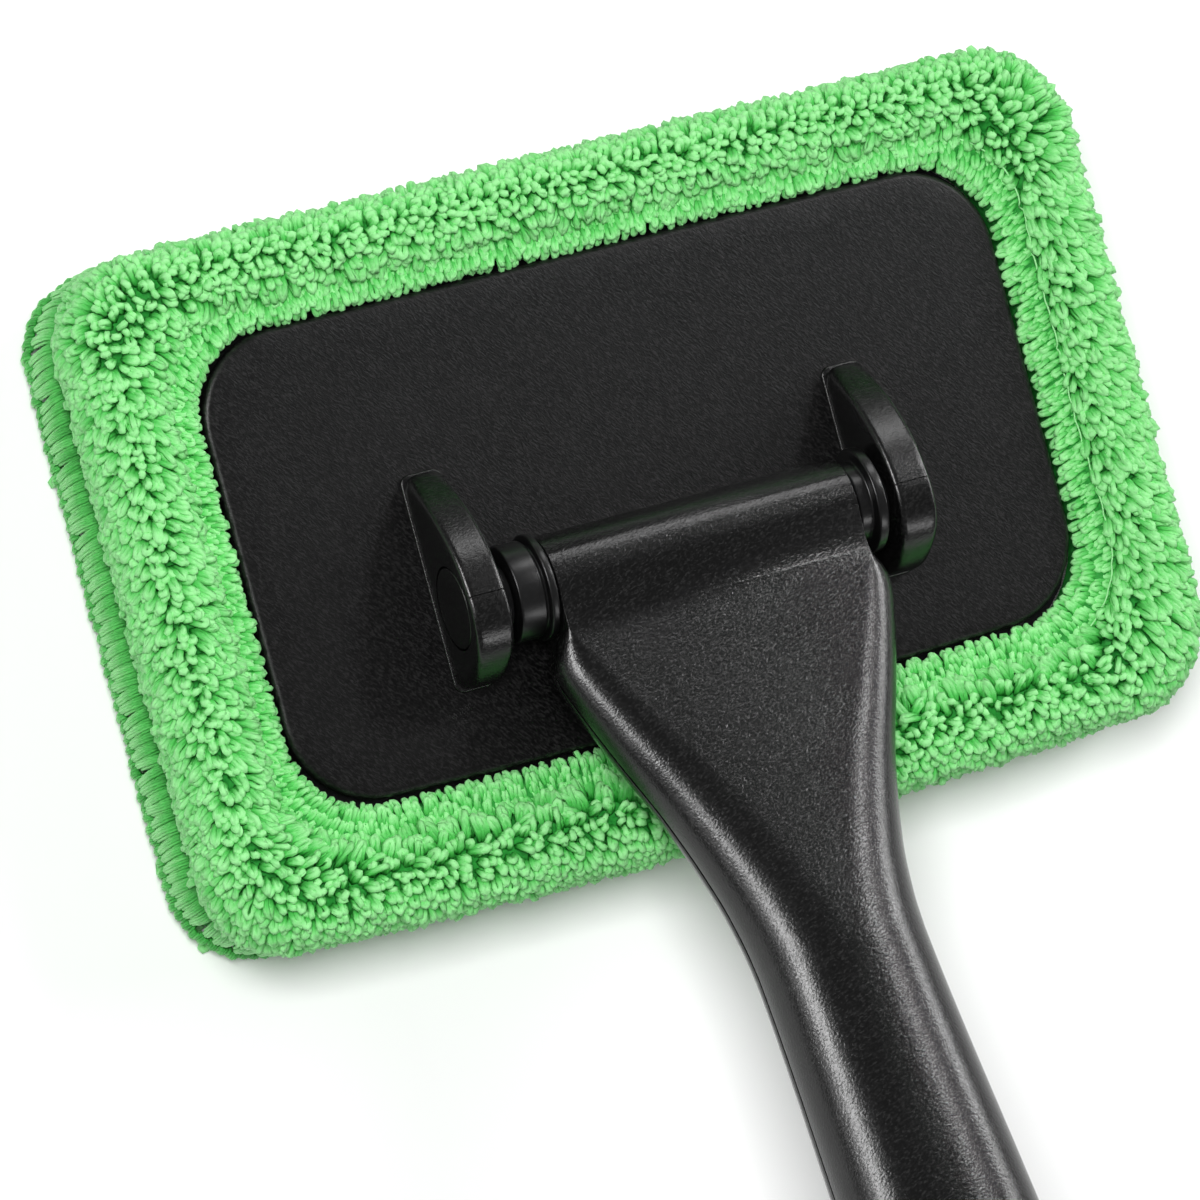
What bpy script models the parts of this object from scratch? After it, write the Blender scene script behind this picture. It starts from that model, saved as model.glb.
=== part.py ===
"""Windshield cleaning tool: a microfibre bonnet on a foam-backed plate, with a hinged hollow handle.

The tool lies on its wiping face. X runs along the hinge, -Y towards the handle, Z up, in metres.
The origin is the centre of the wiping face, on the surface that the tool lies on.
"""
import math

import bmesh
import bpy

# Clearance between pieces that touch or run on each other
GAP = 0.0003

# Bonnet: outer form, and the opening that its hem leaves round the back panel
HEAD_LENGTH = 0.200
HEAD_WIDTH = 0.127
HEAD_CORNER = 0.015
HEAD_BOW = 0.0030
HEM_CLEARANCE = 0.0016
FACE_THICK = 0.0060
TIER_TOP = 0.0180
BONNET_CREST = 0.0382
HEM_BASE = 0.0246
HEM_CREST = 0.0343
ELASTIC_THICK = 0.0026

# Shares of the way from the hem's inner edge to the bonnet's outer edge
ELASTIC_REACH = (0.07, 0.24)
HEM_REACH = 0.28
POCKET_REACH = 0.55

# Plates inside and on top of the bonnet; they sit a little towards the far edge
PLATE_SHIFT = 0.0017
CARRIER_THICK = 0.0030
PEDESTAL_WALL = 0.0025
RIB_THICK = 0.0020
PANEL_LENGTH = 0.1572
PANEL_WIDTH = 0.0862
PANEL_CORNER = 0.0165
PANEL_BOW = 0.0015
PANEL_THICK = 0.0035
PANEL_TOP = 0.0320
PANEL_OVERHANG = 0.0030
PANEL_EDGE = 0.0012

# Hinge axis, measured from the panel's centre and top
AXIS_BACK = 0.0140
AXIS_HEIGHT = 0.0102

# Hinge ears
EAR_INNER = 0.0384
EAR_THICK = 0.0073
EAR_HEIGHT = 0.0195
EAR_AHEAD = 0.0250
EAR_BEHIND = 0.0146
EAR_EDGE = 0.0009
EAR_HEEL_DRAW = 0.0008
EAR_TIP_DRAW = 0.0006
CAP_RADIUS = 0.0075
CAP_THICK = 0.0020

# Hinge pin, its head and clip, and the washers beside the ears
PIN_RADIUS = 0.0030
PIN_HEAD_RADIUS = 0.0050
PIN_HEAD_THICK = 0.0014
PIN_POCKET_DEPTH = 0.0020
CLIP_THICK = 0.0010
WASHER_RADIUS = 0.0060

# Barrel of the handle, and the bushes at its ends
BARREL_RADIUS = 0.0088
BARREL_LEFT = 0.0288
BARREL_RIGHT = 0.0314
BARREL_EDGE = 0.0008
BUSH_FLANGE_RADIUS = 0.0098
BUSH_SPIGOT_RADIUS = 0.0062
BUSH_SPIGOT_LENGTH = 0.0080
LEFT_RING_RADIUS = 0.0090
LEFT_RING_LENGTH = 0.0056
LEFT_FLANGE_THICK = 0.0015
RIGHT_NECK_RADIUS = 0.0075
RIGHT_NECK_LENGTH = 0.0026
RIGHT_FLANGE_THICK = 0.0020

# Handle: places along it, measured from the hinge axis, and its section at each
HANDLE_RAISE = math.radians(16.0)
FAN_FRONT = 0.0104
SHOULDER_AT = 0.0135
NECK_AT = 0.0800
GRIP_AT = 0.1500
HANDLE_LENGTH = 0.2900
CAP_LENGTH = 0.0280
SHOULDER_HALF = 0.0346
NECK_HALF = 0.0160
GRIP_HALF = 0.0178
BUTT_HALF = 0.0170
SHOULDER_TOP = 0.0062
NECK_TOP = 0.0120
GRIP_TOP = 0.0132
BUTT_TOP = 0.0082
SHOULDER_BOTTOM = 0.0072
FRONT_DRAW_IN = 0.4
NECK_BOTTOM = 0.0114
GRIP_BOTTOM = 0.0128
BUTT_BOTTOM = 0.0080
FAN_SQUARENESS = 4.2
GRIP_SQUARENESS = 2.3
FAN_DISH = 0.0020
WEB_TOP = 0.0054
WEB_BOTTOM = 0.0064
HANDLE_WALL = 0.0022
PARTING_DROP = 0.0010
SPIGOT_LENGTH = 0.0100
SLOT_LENGTH = 0.0180
SLOT_WIDTH = 0.0130
SLOT_INSET = 0.0140
LEAST_STEP = 0.0010

# Fall in width from shoulder to neck: share of the way, share of the extra width that is left
FAN_TAPER = ((0.0, 1.0), (0.16, 0.83), (0.34, 0.60), (0.49, 0.385),
             (0.64, 0.215), (0.79, 0.08), (0.92, 0.015), (1.0, 0.0))

# Screws: head radius, head height, shank radius; the handle's first and last screws are set
# off from the shoulder and from the cap's spigot
PANEL_SCREW = (0.0032, 0.0018, 0.0015)
EAR_SCREW = (0.0027, 0.0018, 0.0013)
HANDLE_SCREW = (0.0028, 0.0018, 0.0014)
PANEL_SCREW_X = 0.062
PANEL_SCREW_Y = 0.028
EAR_SCREW_AHEAD = 0.0155
EAR_SCREW_BEHIND = 0.0108
EAR_SCREW_BITE = 0.0060
FIRST_SCREW_BEHIND = 0.0205
LAST_SCREW_AHEAD = 0.0270
HANDLE_SCREW_BITE = 0.0040
BOSS_WALL = 0.0026
RIB_PLACES = (-0.054, -0.022, 0.022, 0.054)
LONG_RIB_Y = 0.014

# Fineness of round forms
CORNER_STEPS = 5
SIDE_STEPS = 6
ROUND_STEPS = 28
SMALL_STEPS = 12
SECTION_STEPS = 28

# Heights and places that follow from the sizes above
POCKET_FLOOR = FACE_THICK
CARRIER_BASE = TIER_TOP + GAP
CARRIER_TOP = CARRIER_BASE + CARRIER_THICK
PANEL_BASE = PANEL_TOP - PANEL_THICK
PEDESTAL_TOP = PANEL_BASE - GAP
AXIS_Y = PLATE_SHIFT - AXIS_BACK
AXIS_Z = PANEL_TOP + AXIS_HEIGHT
EAR_BASE = PANEL_TOP + GAP
EAR_OUTER = EAR_INNER + EAR_THICK
CAP_AT = HANDLE_LENGTH - CAP_LENGTH
HANDLE_SCREW_PLACES = (SHOULDER_AT + FIRST_SCREW_BEHIND, (NECK_AT + GRIP_AT) / 2,
                       CAP_AT - SPIGOT_LENGTH - LAST_SCREW_AHEAD)


def clear_scene():
    """Remove whatever the file holds."""
    for old in list(bpy.data.objects):
        bpy.data.objects.remove(old, do_unlink=True)
    for old in list(bpy.data.collections):
        bpy.data.collections.remove(old)


clear_scene()
TOOL = bpy.data.collections.new("windshield_cleaning_tool")
CUTTERS = bpy.data.collections.new("cutters")
bpy.context.scene.collection.children.link(TOOL)
bpy.context.scene.collection.children.link(CUTTERS)


def material(name, colour, roughness, metallic=0.0):
    """A Principled material with the piece's colour and finish."""
    mat = bpy.data.materials.new(name)
    mat.use_nodes = True
    shader = mat.node_tree.nodes["Principled BSDF"]
    shader.inputs["Base Color"].default_value = (*colour, 1.0)
    shader.inputs["Roughness"].default_value = roughness
    shader.inputs["Metallic"].default_value = metallic
    return mat


def pivot(name, location, rotation_x=0.0):
    """An empty that carries the pieces of one frame."""
    empty = bpy.data.objects.new(name, None)
    empty.empty_display_size = 0.01
    empty.location = location
    empty.rotation_euler = (rotation_x, 0.0, 0.0)
    TOOL.objects.link(empty)
    return empty


PLATE_FRAME = pivot("plate_frame", (0.0, PLATE_SHIFT, 0.0))
HINGE_FRAME = pivot("hinge_frame", (0.0, AXIS_Y, AXIS_Z))
HANDLE_FRAME = pivot("handle_frame", (0.0, AXIS_Y, AXIS_Z), -HANDLE_RAISE)


def add_object(name, mesh, parent=None, mat=None, cutter=False):
    """Link a mesh as a named piece, or as a cutter."""
    obj = bpy.data.objects.new(name, mesh)
    if cutter:
        obj.hide_render = True
        obj.display_type = "WIRE"
    (CUTTERS if cutter else TOOL).objects.link(obj)
    obj.parent = parent
    if mat:
        mesh.materials.clear()
        mesh.materials.append(mat)
    return obj


def mesh_from(bm, name, smooth_angle=35.0):
    """Finish a bmesh as a mesh, smooth where it is round."""
    bmesh.ops.recalc_face_normals(bm, faces=bm.faces)
    mesh = bpy.data.meshes.new(name)
    bm.to_mesh(mesh)
    bm.free()
    mesh.shade_smooth()
    mesh.set_sharp_from_angle(angle=math.radians(smooth_angle))
    return mesh


def evaluated_mesh(obj, name):
    """The object's mesh with its modifiers applied and its caps welded; the object is removed."""
    depsgraph = bpy.context.evaluated_depsgraph_get()
    mesh = bpy.data.meshes.new_from_object(obj.evaluated_get(depsgraph))
    bpy.data.objects.remove(obj, do_unlink=True)
    bm = bmesh.new()
    bm.from_mesh(mesh)
    bmesh.ops.remove_doubles(bm, verts=bm.verts, dist=0.000001)
    bmesh.ops.dissolve_limit(bm, angle_limit=0.0005, verts=bm.verts, edges=bm.edges)
    return mesh_from(bm, name)


def boolean(obj, cutter, operation="DIFFERENCE"):
    """Cut a piece with a cutter, or join the cutter's shape to it."""
    modifier = obj.modifiers.new(cutter.name, "BOOLEAN")
    modifier.operation = operation
    modifier.object = cutter


def bevel(obj, width, segments=2):
    """Round a piece's sharp edges."""
    modifier = obj.modifiers.new("edge", "BEVEL")
    modifier.width = width
    modifier.segments = segments
    modifier.limit_method = "ANGLE"
    modifier.angle_limit = math.radians(40.0)


def flat_outline(name, points, low, high):
    """A flat closed outline, extruded from one height to another, as a mesh."""
    curve = bpy.data.curves.new(name, "CURVE")
    curve.dimensions = "2D"
    curve.fill_mode = "BOTH"
    curve.extrude = (high - low) / 2
    spline = curve.splines.new("POLY")
    spline.points.add(len(points) - 1)
    for point, (x, y) in zip(spline.points, points):
        point.co = (x, y, 0.0, 1.0)
    spline.use_cyclic_u = True
    obj = bpy.data.objects.new(name, curve)
    TOOL.objects.link(obj)
    mesh = evaluated_mesh(obj, name)
    for vertex in mesh.vertices:
        vertex.co.z += (high + low) / 2
    return mesh


def box(name, low, high):
    """A box between two corners, as a mesh."""
    bm = bmesh.new()
    bmesh.ops.create_cube(bm, size=1.0)
    for vert in bm.verts:
        for axis in range(3):
            middle = (low[axis] + high[axis]) / 2
            vert.co[axis] = middle + vert.co[axis] * (high[axis] - low[axis])
    return mesh_from(bm, name)


def cylinder(name, radius, low, high, x=0.0, y=0.0, steps=SMALL_STEPS):
    """An upright cylinder between two heights, as a mesh."""
    bm = bmesh.new()
    bmesh.ops.create_cone(bm, cap_ends=True, segments=steps, radius1=radius, radius2=radius,
                          depth=high - low)
    bmesh.ops.translate(bm, verts=bm.verts, vec=(x, y, (low + high) / 2))
    return mesh_from(bm, name)


def turned(name, profile, closed=False, steps=ROUND_STEPS):
    """A turned piece about its own Z: (radius, height) points that run down its outer side."""
    mesh = bpy.data.meshes.new(name)
    count = len(profile)
    edges = [(i, i + 1) for i in range(count - 1)]
    if closed:
        edges.append((count - 1, 0))
    mesh.from_pydata([(radius, 0.0, height) for radius, height in profile], edges, [])
    obj = bpy.data.objects.new(name, mesh)
    TOOL.objects.link(obj)
    screw = obj.modifiers.new("turn", "SCREW")
    screw.steps = steps
    screw.render_steps = steps
    screw.use_merge_vertices = True
    screw.merge_threshold = 0.00001
    return evaluated_mesh(obj, name)


def loft(name, loops, ring=False):
    """Bridge a list of equal closed loops; the ends are capped, or meet where it is a ring."""
    bm = bmesh.new()
    rows = [[bm.verts.new(point) for point in loop] for loop in loops]
    pairs = list(zip(rows, rows[1:]))
    if ring:
        pairs.append((rows[-1], rows[0]))
    for first, second in pairs:
        count = len(first)
        for i in range(count):
            j = (i + 1) % count
            bm.faces.new((first[i], first[j], second[j], second[i]))
    if not ring:
        bm.faces.new(rows[0])
        bm.faces.new(rows[-1])
    return mesh_from(bm, name)


def along_x(obj, x=0.0):
    """Lay a turned piece on the hinge axis, its own Z along X."""
    obj.parent = HINGE_FRAME
    obj.location = (x, 0.0, 0.0)
    obj.rotation_euler = (0.0, math.pi / 2, 0.0)
    return obj


def outline(half_x, half_y, corner, centre_y, bow):
    """A rounded rectangle whose edge on the handle's side bows out."""
    points = []
    for side_x, side_y, start in ((1, 1, 0), (-1, 1, 90), (-1, -1, 180), (1, -1, 270)):
        for step in range(CORNER_STEPS + 1):
            angle = math.radians(start + 90 * step / CORNER_STEPS)
            points.append((side_x * (half_x - corner) + corner * math.cos(angle),
                           side_y * (half_y - corner) + corner * math.sin(angle)))
        if start in (0, 180):
            x, y = points[-1]
            points += [(x - 2 * x * step / SIDE_STEPS, y) for step in range(1, SIDE_STEPS)]
    bowed = []
    for x, y in points:
        share = max(0.0, -y / half_y) * (1.0 - (x / half_x) ** 2)
        bowed.append((x, y + centre_y - bow * max(0.0, share)))
    return bowed


def bonnet_outline(reach):
    """The outline at a share of the way from the hem's inner edge to the bonnet's outer edge."""
    inner_x = PANEL_LENGTH / 2 + HEM_CLEARANCE
    inner_y = PANEL_WIDTH / 2 + HEM_CLEARANCE
    inner_corner = PANEL_CORNER + HEM_CLEARANCE
    return (inner_x + reach * (HEAD_LENGTH / 2 - inner_x),
            inner_y + reach * (HEAD_WIDTH / 2 - inner_y),
            inner_corner + reach * (HEAD_CORNER - inner_corner),
            PLATE_SHIFT * (1.0 - reach),
            PANEL_BOW + reach * (HEAD_BOW - PANEL_BOW))


def bonnet_loop(reach, height, inset=0.0):
    """One closed loop of the bonnet at a reach and a height."""
    half_x, half_y, corner, centre_y, bow = bonnet_outline(reach)
    points = outline(half_x - inset, half_y - inset, corner - inset, centre_y, bow)
    return [(x, y, height) for x, y in points]


def panel_outline(inset=0.0):
    """The back panel's outline in the plate frame, drawn in by an inset."""
    return outline(PANEL_LENGTH / 2 - inset, PANEL_WIDTH / 2 - inset, PANEL_CORNER - inset,
                   0.0, PANEL_BOW)


def bonnet_face(mat):
    """The wiping face and its lower tier, one soft tray that holds the foam pad."""
    rim = TIER_TOP
    section = [(POCKET_REACH, POCKET_FLOOR), (POCKET_REACH, rim), (0.80, rim), (0.90, 0.96 * rim),
               (0.965, 0.83 * rim), (0.998, 0.64 * rim), (1.0, 0.47 * rim), (0.985, 0.27 * rim),
               (0.95, 0.10 * rim), (0.90, 0.0)]
    loops = [bonnet_loop(reach, height) for reach, height in section]
    return add_object("bonnet_face", loft("bonnet_face", loops), mat=mat)


def bonnet_roll(mat):
    """The fat upper roll of the bonnet, stepped to sit on the carrier plate and the lower tier."""
    low = TIER_TOP + GAP
    ledge = CARRIER_TOP + GAP
    start = HEM_REACH + 0.015
    rise = BONNET_CREST - low
    crown = [(0.80, 0.0), (0.90, 0.03), (0.955, 0.15), (0.982, 0.34), (0.975, 0.56), (0.93, 0.78),
             (0.84, 0.93), (0.71, 1.0), (0.56, 0.99), (0.42, 0.92), (start + 0.02, 0.83),
             (start, 0.76)]
    section = [(start, ledge), (POCKET_REACH, ledge), (POCKET_REACH, low)]
    section += [(reach, low + share * rise) for reach, share in crown]
    loops = [bonnet_loop(reach, height) for reach, height in section]
    return add_object("bonnet_roll", loft("bonnet_roll", loops, ring=True), mat=mat)


def bonnet_hem(mat):
    """The flat hem that gathers the bonnet round the back panel."""
    rise = HEM_CREST - HEM_BASE
    section = [(0.02, 0.0), (0.0, 0.15), (0.0, 0.60), (0.045, 0.88), (0.13, 1.0), (0.22, 0.99),
               (HEM_REACH, 0.87), (HEM_REACH, 0.0)]
    loops = [bonnet_loop(reach, HEM_BASE + share * rise) for reach, share in section]
    return add_object("bonnet_hem", loft("bonnet_hem", loops, ring=True), mat=mat)


def hem_elastic(mat):
    """The elastic band under the hem, drawn tight round the carrier plate's channel."""
    inner, outer = ELASTIC_REACH
    low = CARRIER_TOP + GAP
    high = low + ELASTIC_THICK
    section = [(inner, low), (inner, high), (outer, high), (outer, low)]
    loops = [bonnet_loop(reach, height) for reach, height in section]
    return add_object("hem_elastic", loft("hem_elastic", loops, ring=True), mat=mat)


def foam_pad(mat):
    """The foam pad in the bonnet's pocket."""
    points = [(x, y) for x, y, _ in bonnet_loop(POCKET_REACH, 0.0, inset=GAP)]
    mesh = flat_outline("foam_pad", points, POCKET_FLOOR + GAP, TIER_TOP)
    return add_object("foam_pad", mesh, mat=mat)


def panel_screw_places():
    """Centres of the panel's screws in the plate frame."""
    return [(x, y) for x in (-PANEL_SCREW_X, 0.0, PANEL_SCREW_X)
            for y in (-PANEL_SCREW_Y, PANEL_SCREW_Y)]


def ear_screw_places():
    """Centres of the ears' screws in the plate frame."""
    middle = EAR_INNER + EAR_THICK / 2
    return [(side * middle, -AXIS_BACK + offset) for side in (-1, 1)
            for offset in (EAR_SCREW_AHEAD, -EAR_SCREW_BEHIND)]


def carrier_plate(mat):
    """The stiff plate over the foam, with a ribbed pedestal that holds up the back panel."""
    points = [(x, y - PLATE_SHIFT) for x, y, _ in bonnet_loop(POCKET_REACH, 0.0, inset=GAP)]
    mesh = flat_outline("carrier_plate", points, CARRIER_BASE, CARRIER_TOP)
    plate = add_object("carrier_plate", mesh, PLATE_FRAME, mat)
    root = CARRIER_BASE + CARRIER_THICK / 2
    wall = add_object("pedestal", flat_outline("pedestal", panel_outline(PANEL_OVERHANG), root,
                                               PEDESTAL_TOP), PLATE_FRAME, cutter=True)
    inside = panel_outline(PANEL_OVERHANG + PEDESTAL_WALL)
    hollow = add_object("pedestal_hollow", flat_outline("pedestal_hollow", inside, CARRIER_TOP,
                                                        PEDESTAL_TOP + GAP),
                        PLATE_FRAME, cutter=True)
    boolean(plate, wall, "UNION")
    boolean(plate, hollow)
    reach_y = PANEL_WIDTH / 2 - PANEL_OVERHANG - PEDESTAL_WALL / 2
    reach_x = PANEL_LENGTH / 2 - PANEL_OVERHANG - PEDESTAL_WALL / 2
    half = RIB_THICK / 2
    ribs = [box("rib", (x - half, -reach_y, root), (x + half, reach_y, PEDESTAL_TOP))
            for x in RIB_PLACES]
    ribs.append(box("rib", (-reach_x, LONG_RIB_Y - half, root),
                    (reach_x, LONG_RIB_Y + half, PEDESTAL_TOP)))
    for mesh in ribs:
        boolean(plate, add_object("rib", mesh, PLATE_FRAME, cutter=True), "UNION")
    head, height, shank = PANEL_SCREW
    for x, y in panel_screw_places():
        boss = cylinder("boss", shank + GAP + BOSS_WALL, root, boss_split() - GAP, x, y)
        boolean(plate, add_object("boss", boss, PLATE_FRAME, cutter=True), "UNION")
    for x, y in panel_screw_places():
        bore = cylinder("bore", shank + GAP, CARRIER_BASE - GAP, PEDESTAL_TOP, x, y)
        boolean(plate, add_object("bore", bore, PLATE_FRAME, cutter=True))
        seat = cylinder("seat", head + GAP, CARRIER_BASE - GAP, CARRIER_BASE + height + GAP, x, y)
        boolean(plate, add_object("seat", seat, PLATE_FRAME, cutter=True))
    return plate


def boss_split():
    """Height where the panel's bosses meet the carrier plate's bosses."""
    return (CARRIER_TOP + PANEL_BASE) / 2


def back_panel(mat):
    """The textured panel, with bosses under it for its screws and holes for the ears' screws."""
    mesh = flat_outline("back_panel", panel_outline(), PANEL_BASE, PANEL_TOP)
    panel = add_object("back_panel", mesh, PLATE_FRAME, mat)
    bevel(panel, PANEL_EDGE, 3)
    shank = PANEL_SCREW[2]
    middle = (PANEL_BASE + PANEL_TOP) / 2
    tip = PANEL_BASE + GAP + PANEL_THICK / 2
    for x, y in panel_screw_places():
        boss = cylinder("panel_boss", shank + GAP + BOSS_WALL, boss_split(), middle, x, y)
        boolean(panel, add_object("panel_boss", boss, PLATE_FRAME, cutter=True), "UNION")
    for x, y in panel_screw_places():
        bore = cylinder("panel_bore", shank + GAP, CARRIER_TOP, tip, x, y)
        boolean(panel, add_object("panel_bore", bore, PLATE_FRAME, cutter=True))
    for x, y in ear_screw_places():
        bore = cylinder("panel_hole", EAR_SCREW[2] + GAP, CARRIER_TOP, PANEL_TOP + PANEL_THICK,
                        x, y)
        boolean(panel, add_object("panel_hole", bore, PLATE_FRAME, cutter=True))
    return panel


def screw_mesh(name, sizes, length):
    """A pan-head screw that points up, its head's seat at height 0."""
    head, height, shank = sizes
    profile = [(0.0, length), (0.4 * shank, length), (shank, length - 1.2 * shank), (shank, 0.0),
               (head, 0.0), (head, -0.6 * height), (0.7 * head, -height), (0.0, -height)]
    return turned(name, profile, steps=SMALL_STEPS)


def screw_set(name, sizes, length, places, parent, mat):
    """Identical screws at (x, y, seat height) places, which share one mesh."""
    shared = screw_mesh(name, sizes, length)
    for number, place in enumerate(places, 1):
        screw = add_object(f"{name}_{number}", shared, parent, mat)
        screw.location = place


def panel_screws(mat):
    """Six screws from the carrier plate's underside up into the panel's bosses."""
    seat = CARRIER_BASE + PANEL_SCREW[1]
    places = [(x, y, seat) for x, y in panel_screw_places()]
    length = PANEL_BASE + PANEL_THICK / 2 - GAP - seat
    screw_set("panel_screw", PANEL_SCREW, length, places, PLATE_FRAME, mat)


def ear_screws(mat):
    """Four screws from under the panel up into the hinge ears."""
    seat = PANEL_BASE - GAP
    places = [(x, y, seat) for x, y in ear_screw_places()]
    length = EAR_BASE + EAR_SCREW_BITE - seat
    screw_set("ear_screw", EAR_SCREW, length, places, PLATE_FRAME, mat)


def ear_outline():
    """The ear's D shape as (ahead of the axis, above the base) points for a smooth curve."""
    return [(-EAR_BEHIND + EAR_HEEL_DRAW, 0.0), (-EAR_BEHIND, 0.08 * EAR_HEIGHT),
            (-0.96 * EAR_BEHIND, 0.45 * EAR_HEIGHT), (-0.63 * EAR_BEHIND, 0.84 * EAR_HEIGHT),
            (-0.22 * EAR_BEHIND, EAR_HEIGHT), (0.14 * EAR_AHEAD, 0.975 * EAR_HEIGHT),
            (0.42 * EAR_AHEAD, 0.83 * EAR_HEIGHT), (0.70 * EAR_AHEAD, 0.56 * EAR_HEIGHT),
            (0.96 * EAR_AHEAD, 0.20 * EAR_HEIGHT), (EAR_AHEAD, 0.10 * EAR_HEIGHT),
            (EAR_AHEAD - EAR_TIP_DRAW, 0.0)]


def ear_mesh(name):
    """The ear's plate, standing along Y, centred on its thickness."""
    curve = bpy.data.curves.new(name, "CURVE")
    curve.dimensions = "2D"
    curve.fill_mode = "BOTH"
    curve.extrude = EAR_THICK / 2
    curve.resolution_u = 4
    curve.render_resolution_u = 0
    spline = curve.splines.new("BEZIER")
    points = ear_outline()
    spline.bezier_points.add(len(points) - 1)
    for knot, (ahead, up) in zip(spline.bezier_points, points):
        knot.co = (ahead, up, 0.0)
        corner = up == 0.0
        knot.handle_left_type = "VECTOR" if corner else "AUTO"
        knot.handle_right_type = "VECTOR" if corner else "AUTO"
    spline.use_cyclic_u = True
    obj = bpy.data.objects.new(name, curve)
    TOOL.objects.link(obj)
    return evaluated_mesh(obj, name)


def hinge_ear(name, side, mat):
    """One ear, with the pin's bore, the pocket for its head or clip, and the cap's recess."""
    ear = add_object(name, ear_mesh(name), mat=mat)
    ear.parent = HINGE_FRAME
    ear.location = (side * (EAR_INNER + EAR_THICK / 2), 0.0, EAR_BASE - AXIS_Z)
    ear.rotation_euler = (math.pi / 2, 0.0, math.pi / 2)
    bevel(ear, EAR_EDGE)
    pocket_mouth = EAR_OUTER - CAP_THICK - GAP
    cuts = [(PIN_RADIUS + GAP, EAR_INNER - EAR_THICK, EAR_OUTER),
            (PIN_HEAD_RADIUS + GAP, pocket_mouth - PIN_POCKET_DEPTH, EAR_OUTER + GAP),
            (CAP_RADIUS + GAP, pocket_mouth, EAR_OUTER + EAR_THICK)]
    for radius, near, far in cuts:
        low, high = sorted((side * near, side * far))
        mesh = cylinder("ear_bore", radius, low, high, steps=ROUND_STEPS)
        boolean(ear, along_x(add_object("ear_bore", mesh, cutter=True)))
    for x, y in ear_screw_places():
        if x * side > 0.0:
            top = EAR_BASE + EAR_SCREW_BITE + GAP
            mesh = cylinder("ear_screw_bore", EAR_SCREW[2] + GAP, PANEL_BASE, top, x, y)
            boolean(ear, add_object("ear_screw_bore", mesh, PLATE_FRAME, cutter=True))
    return ear


def pin_cap(name, side, mat):
    """The disc that closes the pin's recess, flush with the ear's outer face."""
    outer = side * EAR_OUTER
    inner = side * (EAR_OUTER - CAP_THICK)
    low, high = sorted((outer, inner))
    mesh = turned(name, [(0.0, high), (CAP_RADIUS, high), (CAP_RADIUS, low), (0.0, low)])
    return along_x(add_object(name, mesh, mat=mat))


def hinge_pin(mat):
    """The steel pin, headed at the left ear and clipped at the right one."""
    head_end = -(EAR_OUTER - CAP_THICK - 2 * GAP)
    head_seat = head_end + PIN_HEAD_THICK
    tip = -head_end
    profile = [(0.0, tip), (PIN_RADIUS, tip), (PIN_RADIUS, head_seat), (PIN_HEAD_RADIUS, head_seat),
               (PIN_HEAD_RADIUS, head_end), (0.0, head_end)]
    return along_x(add_object("hinge_pin", turned("hinge_pin", profile), mat=mat))


def ring_mesh(name, inner, outer, low, high):
    """A flat ring about its own Z."""
    profile = [(outer, high), (outer, low), (inner, low), (inner, high)]
    return turned(name, profile, closed=True)


def pin_clip(mat):
    """The clip that keeps the pin in the right ear."""
    low = EAR_OUTER - CAP_THICK - GAP - PIN_POCKET_DEPTH + GAP
    mesh = ring_mesh("pin_clip", PIN_RADIUS + GAP, PIN_HEAD_RADIUS, low, low + CLIP_THICK)
    return along_x(add_object("pin_clip", mesh, mat=mat))


def left_bush_end():
    """Distance from the middle to the left bush's outer end."""
    return BARREL_LEFT + GAP + LEFT_FLANGE_THICK + LEFT_RING_LENGTH


def right_bush_end():
    """Distance from the middle to the right bush's outer end."""
    return BARREL_RIGHT + GAP + RIGHT_NECK_LENGTH + RIGHT_FLANGE_THICK


def friction_washer(name, side, bush_end, mat):
    """A washer on the pin that fills the space between a bush and its ear."""
    low, high = sorted((side * (bush_end + GAP), side * (EAR_INNER - GAP)))
    mesh = ring_mesh(name, PIN_RADIUS + GAP, WASHER_RADIUS, low, high)
    return along_x(add_object(name, mesh, mat=mat))


def barrel_bush_left(mat):
    """The left bush: a ring, a thin flange and a spigot in the barrel."""
    end = -left_bush_end()
    flange = -(BARREL_LEFT + GAP + LEFT_FLANGE_THICK)
    face = -(BARREL_LEFT + GAP)
    inner = face + BUSH_SPIGOT_LENGTH
    bore = PIN_RADIUS + GAP
    profile = [(BUSH_SPIGOT_RADIUS, inner), (BUSH_SPIGOT_RADIUS, face), (BUSH_FLANGE_RADIUS, face),
               (BUSH_FLANGE_RADIUS, flange), (LEFT_RING_RADIUS, flange), (LEFT_RING_RADIUS, end),
               (bore, end), (bore, inner)]
    mesh = turned("barrel_bush_left", profile, closed=True)
    return handle_turned(add_object("barrel_bush_left", mesh, mat=mat))


def barrel_bush_right(mat):
    """The right bush: a recessed neck, a thin flange and a spigot in the barrel."""
    face = BARREL_RIGHT + GAP
    neck = face + RIGHT_NECK_LENGTH
    end = right_bush_end()
    inner = face - BUSH_SPIGOT_LENGTH
    bore = PIN_RADIUS + GAP
    profile = [(BUSH_FLANGE_RADIUS, end), (BUSH_FLANGE_RADIUS, neck), (RIGHT_NECK_RADIUS, neck),
               (RIGHT_NECK_RADIUS, face), (BUSH_SPIGOT_RADIUS, face), (BUSH_SPIGOT_RADIUS, inner),
               (bore, inner), (bore, end)]
    mesh = turned("barrel_bush_right", profile, closed=True)
    return handle_turned(add_object("barrel_bush_right", mesh, mat=mat))


def handle_turned(obj):
    """Lay a turned piece on the hinge axis in the handle's frame."""
    obj.parent = HANDLE_FRAME
    obj.rotation_euler = (0.0, math.pi / 2, 0.0)
    return obj


def ease(share):
    """A share from 0 to 1 with soft ends."""
    share = min(1.0, max(0.0, share))
    return share * share * (3.0 - 2.0 * share)


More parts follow.
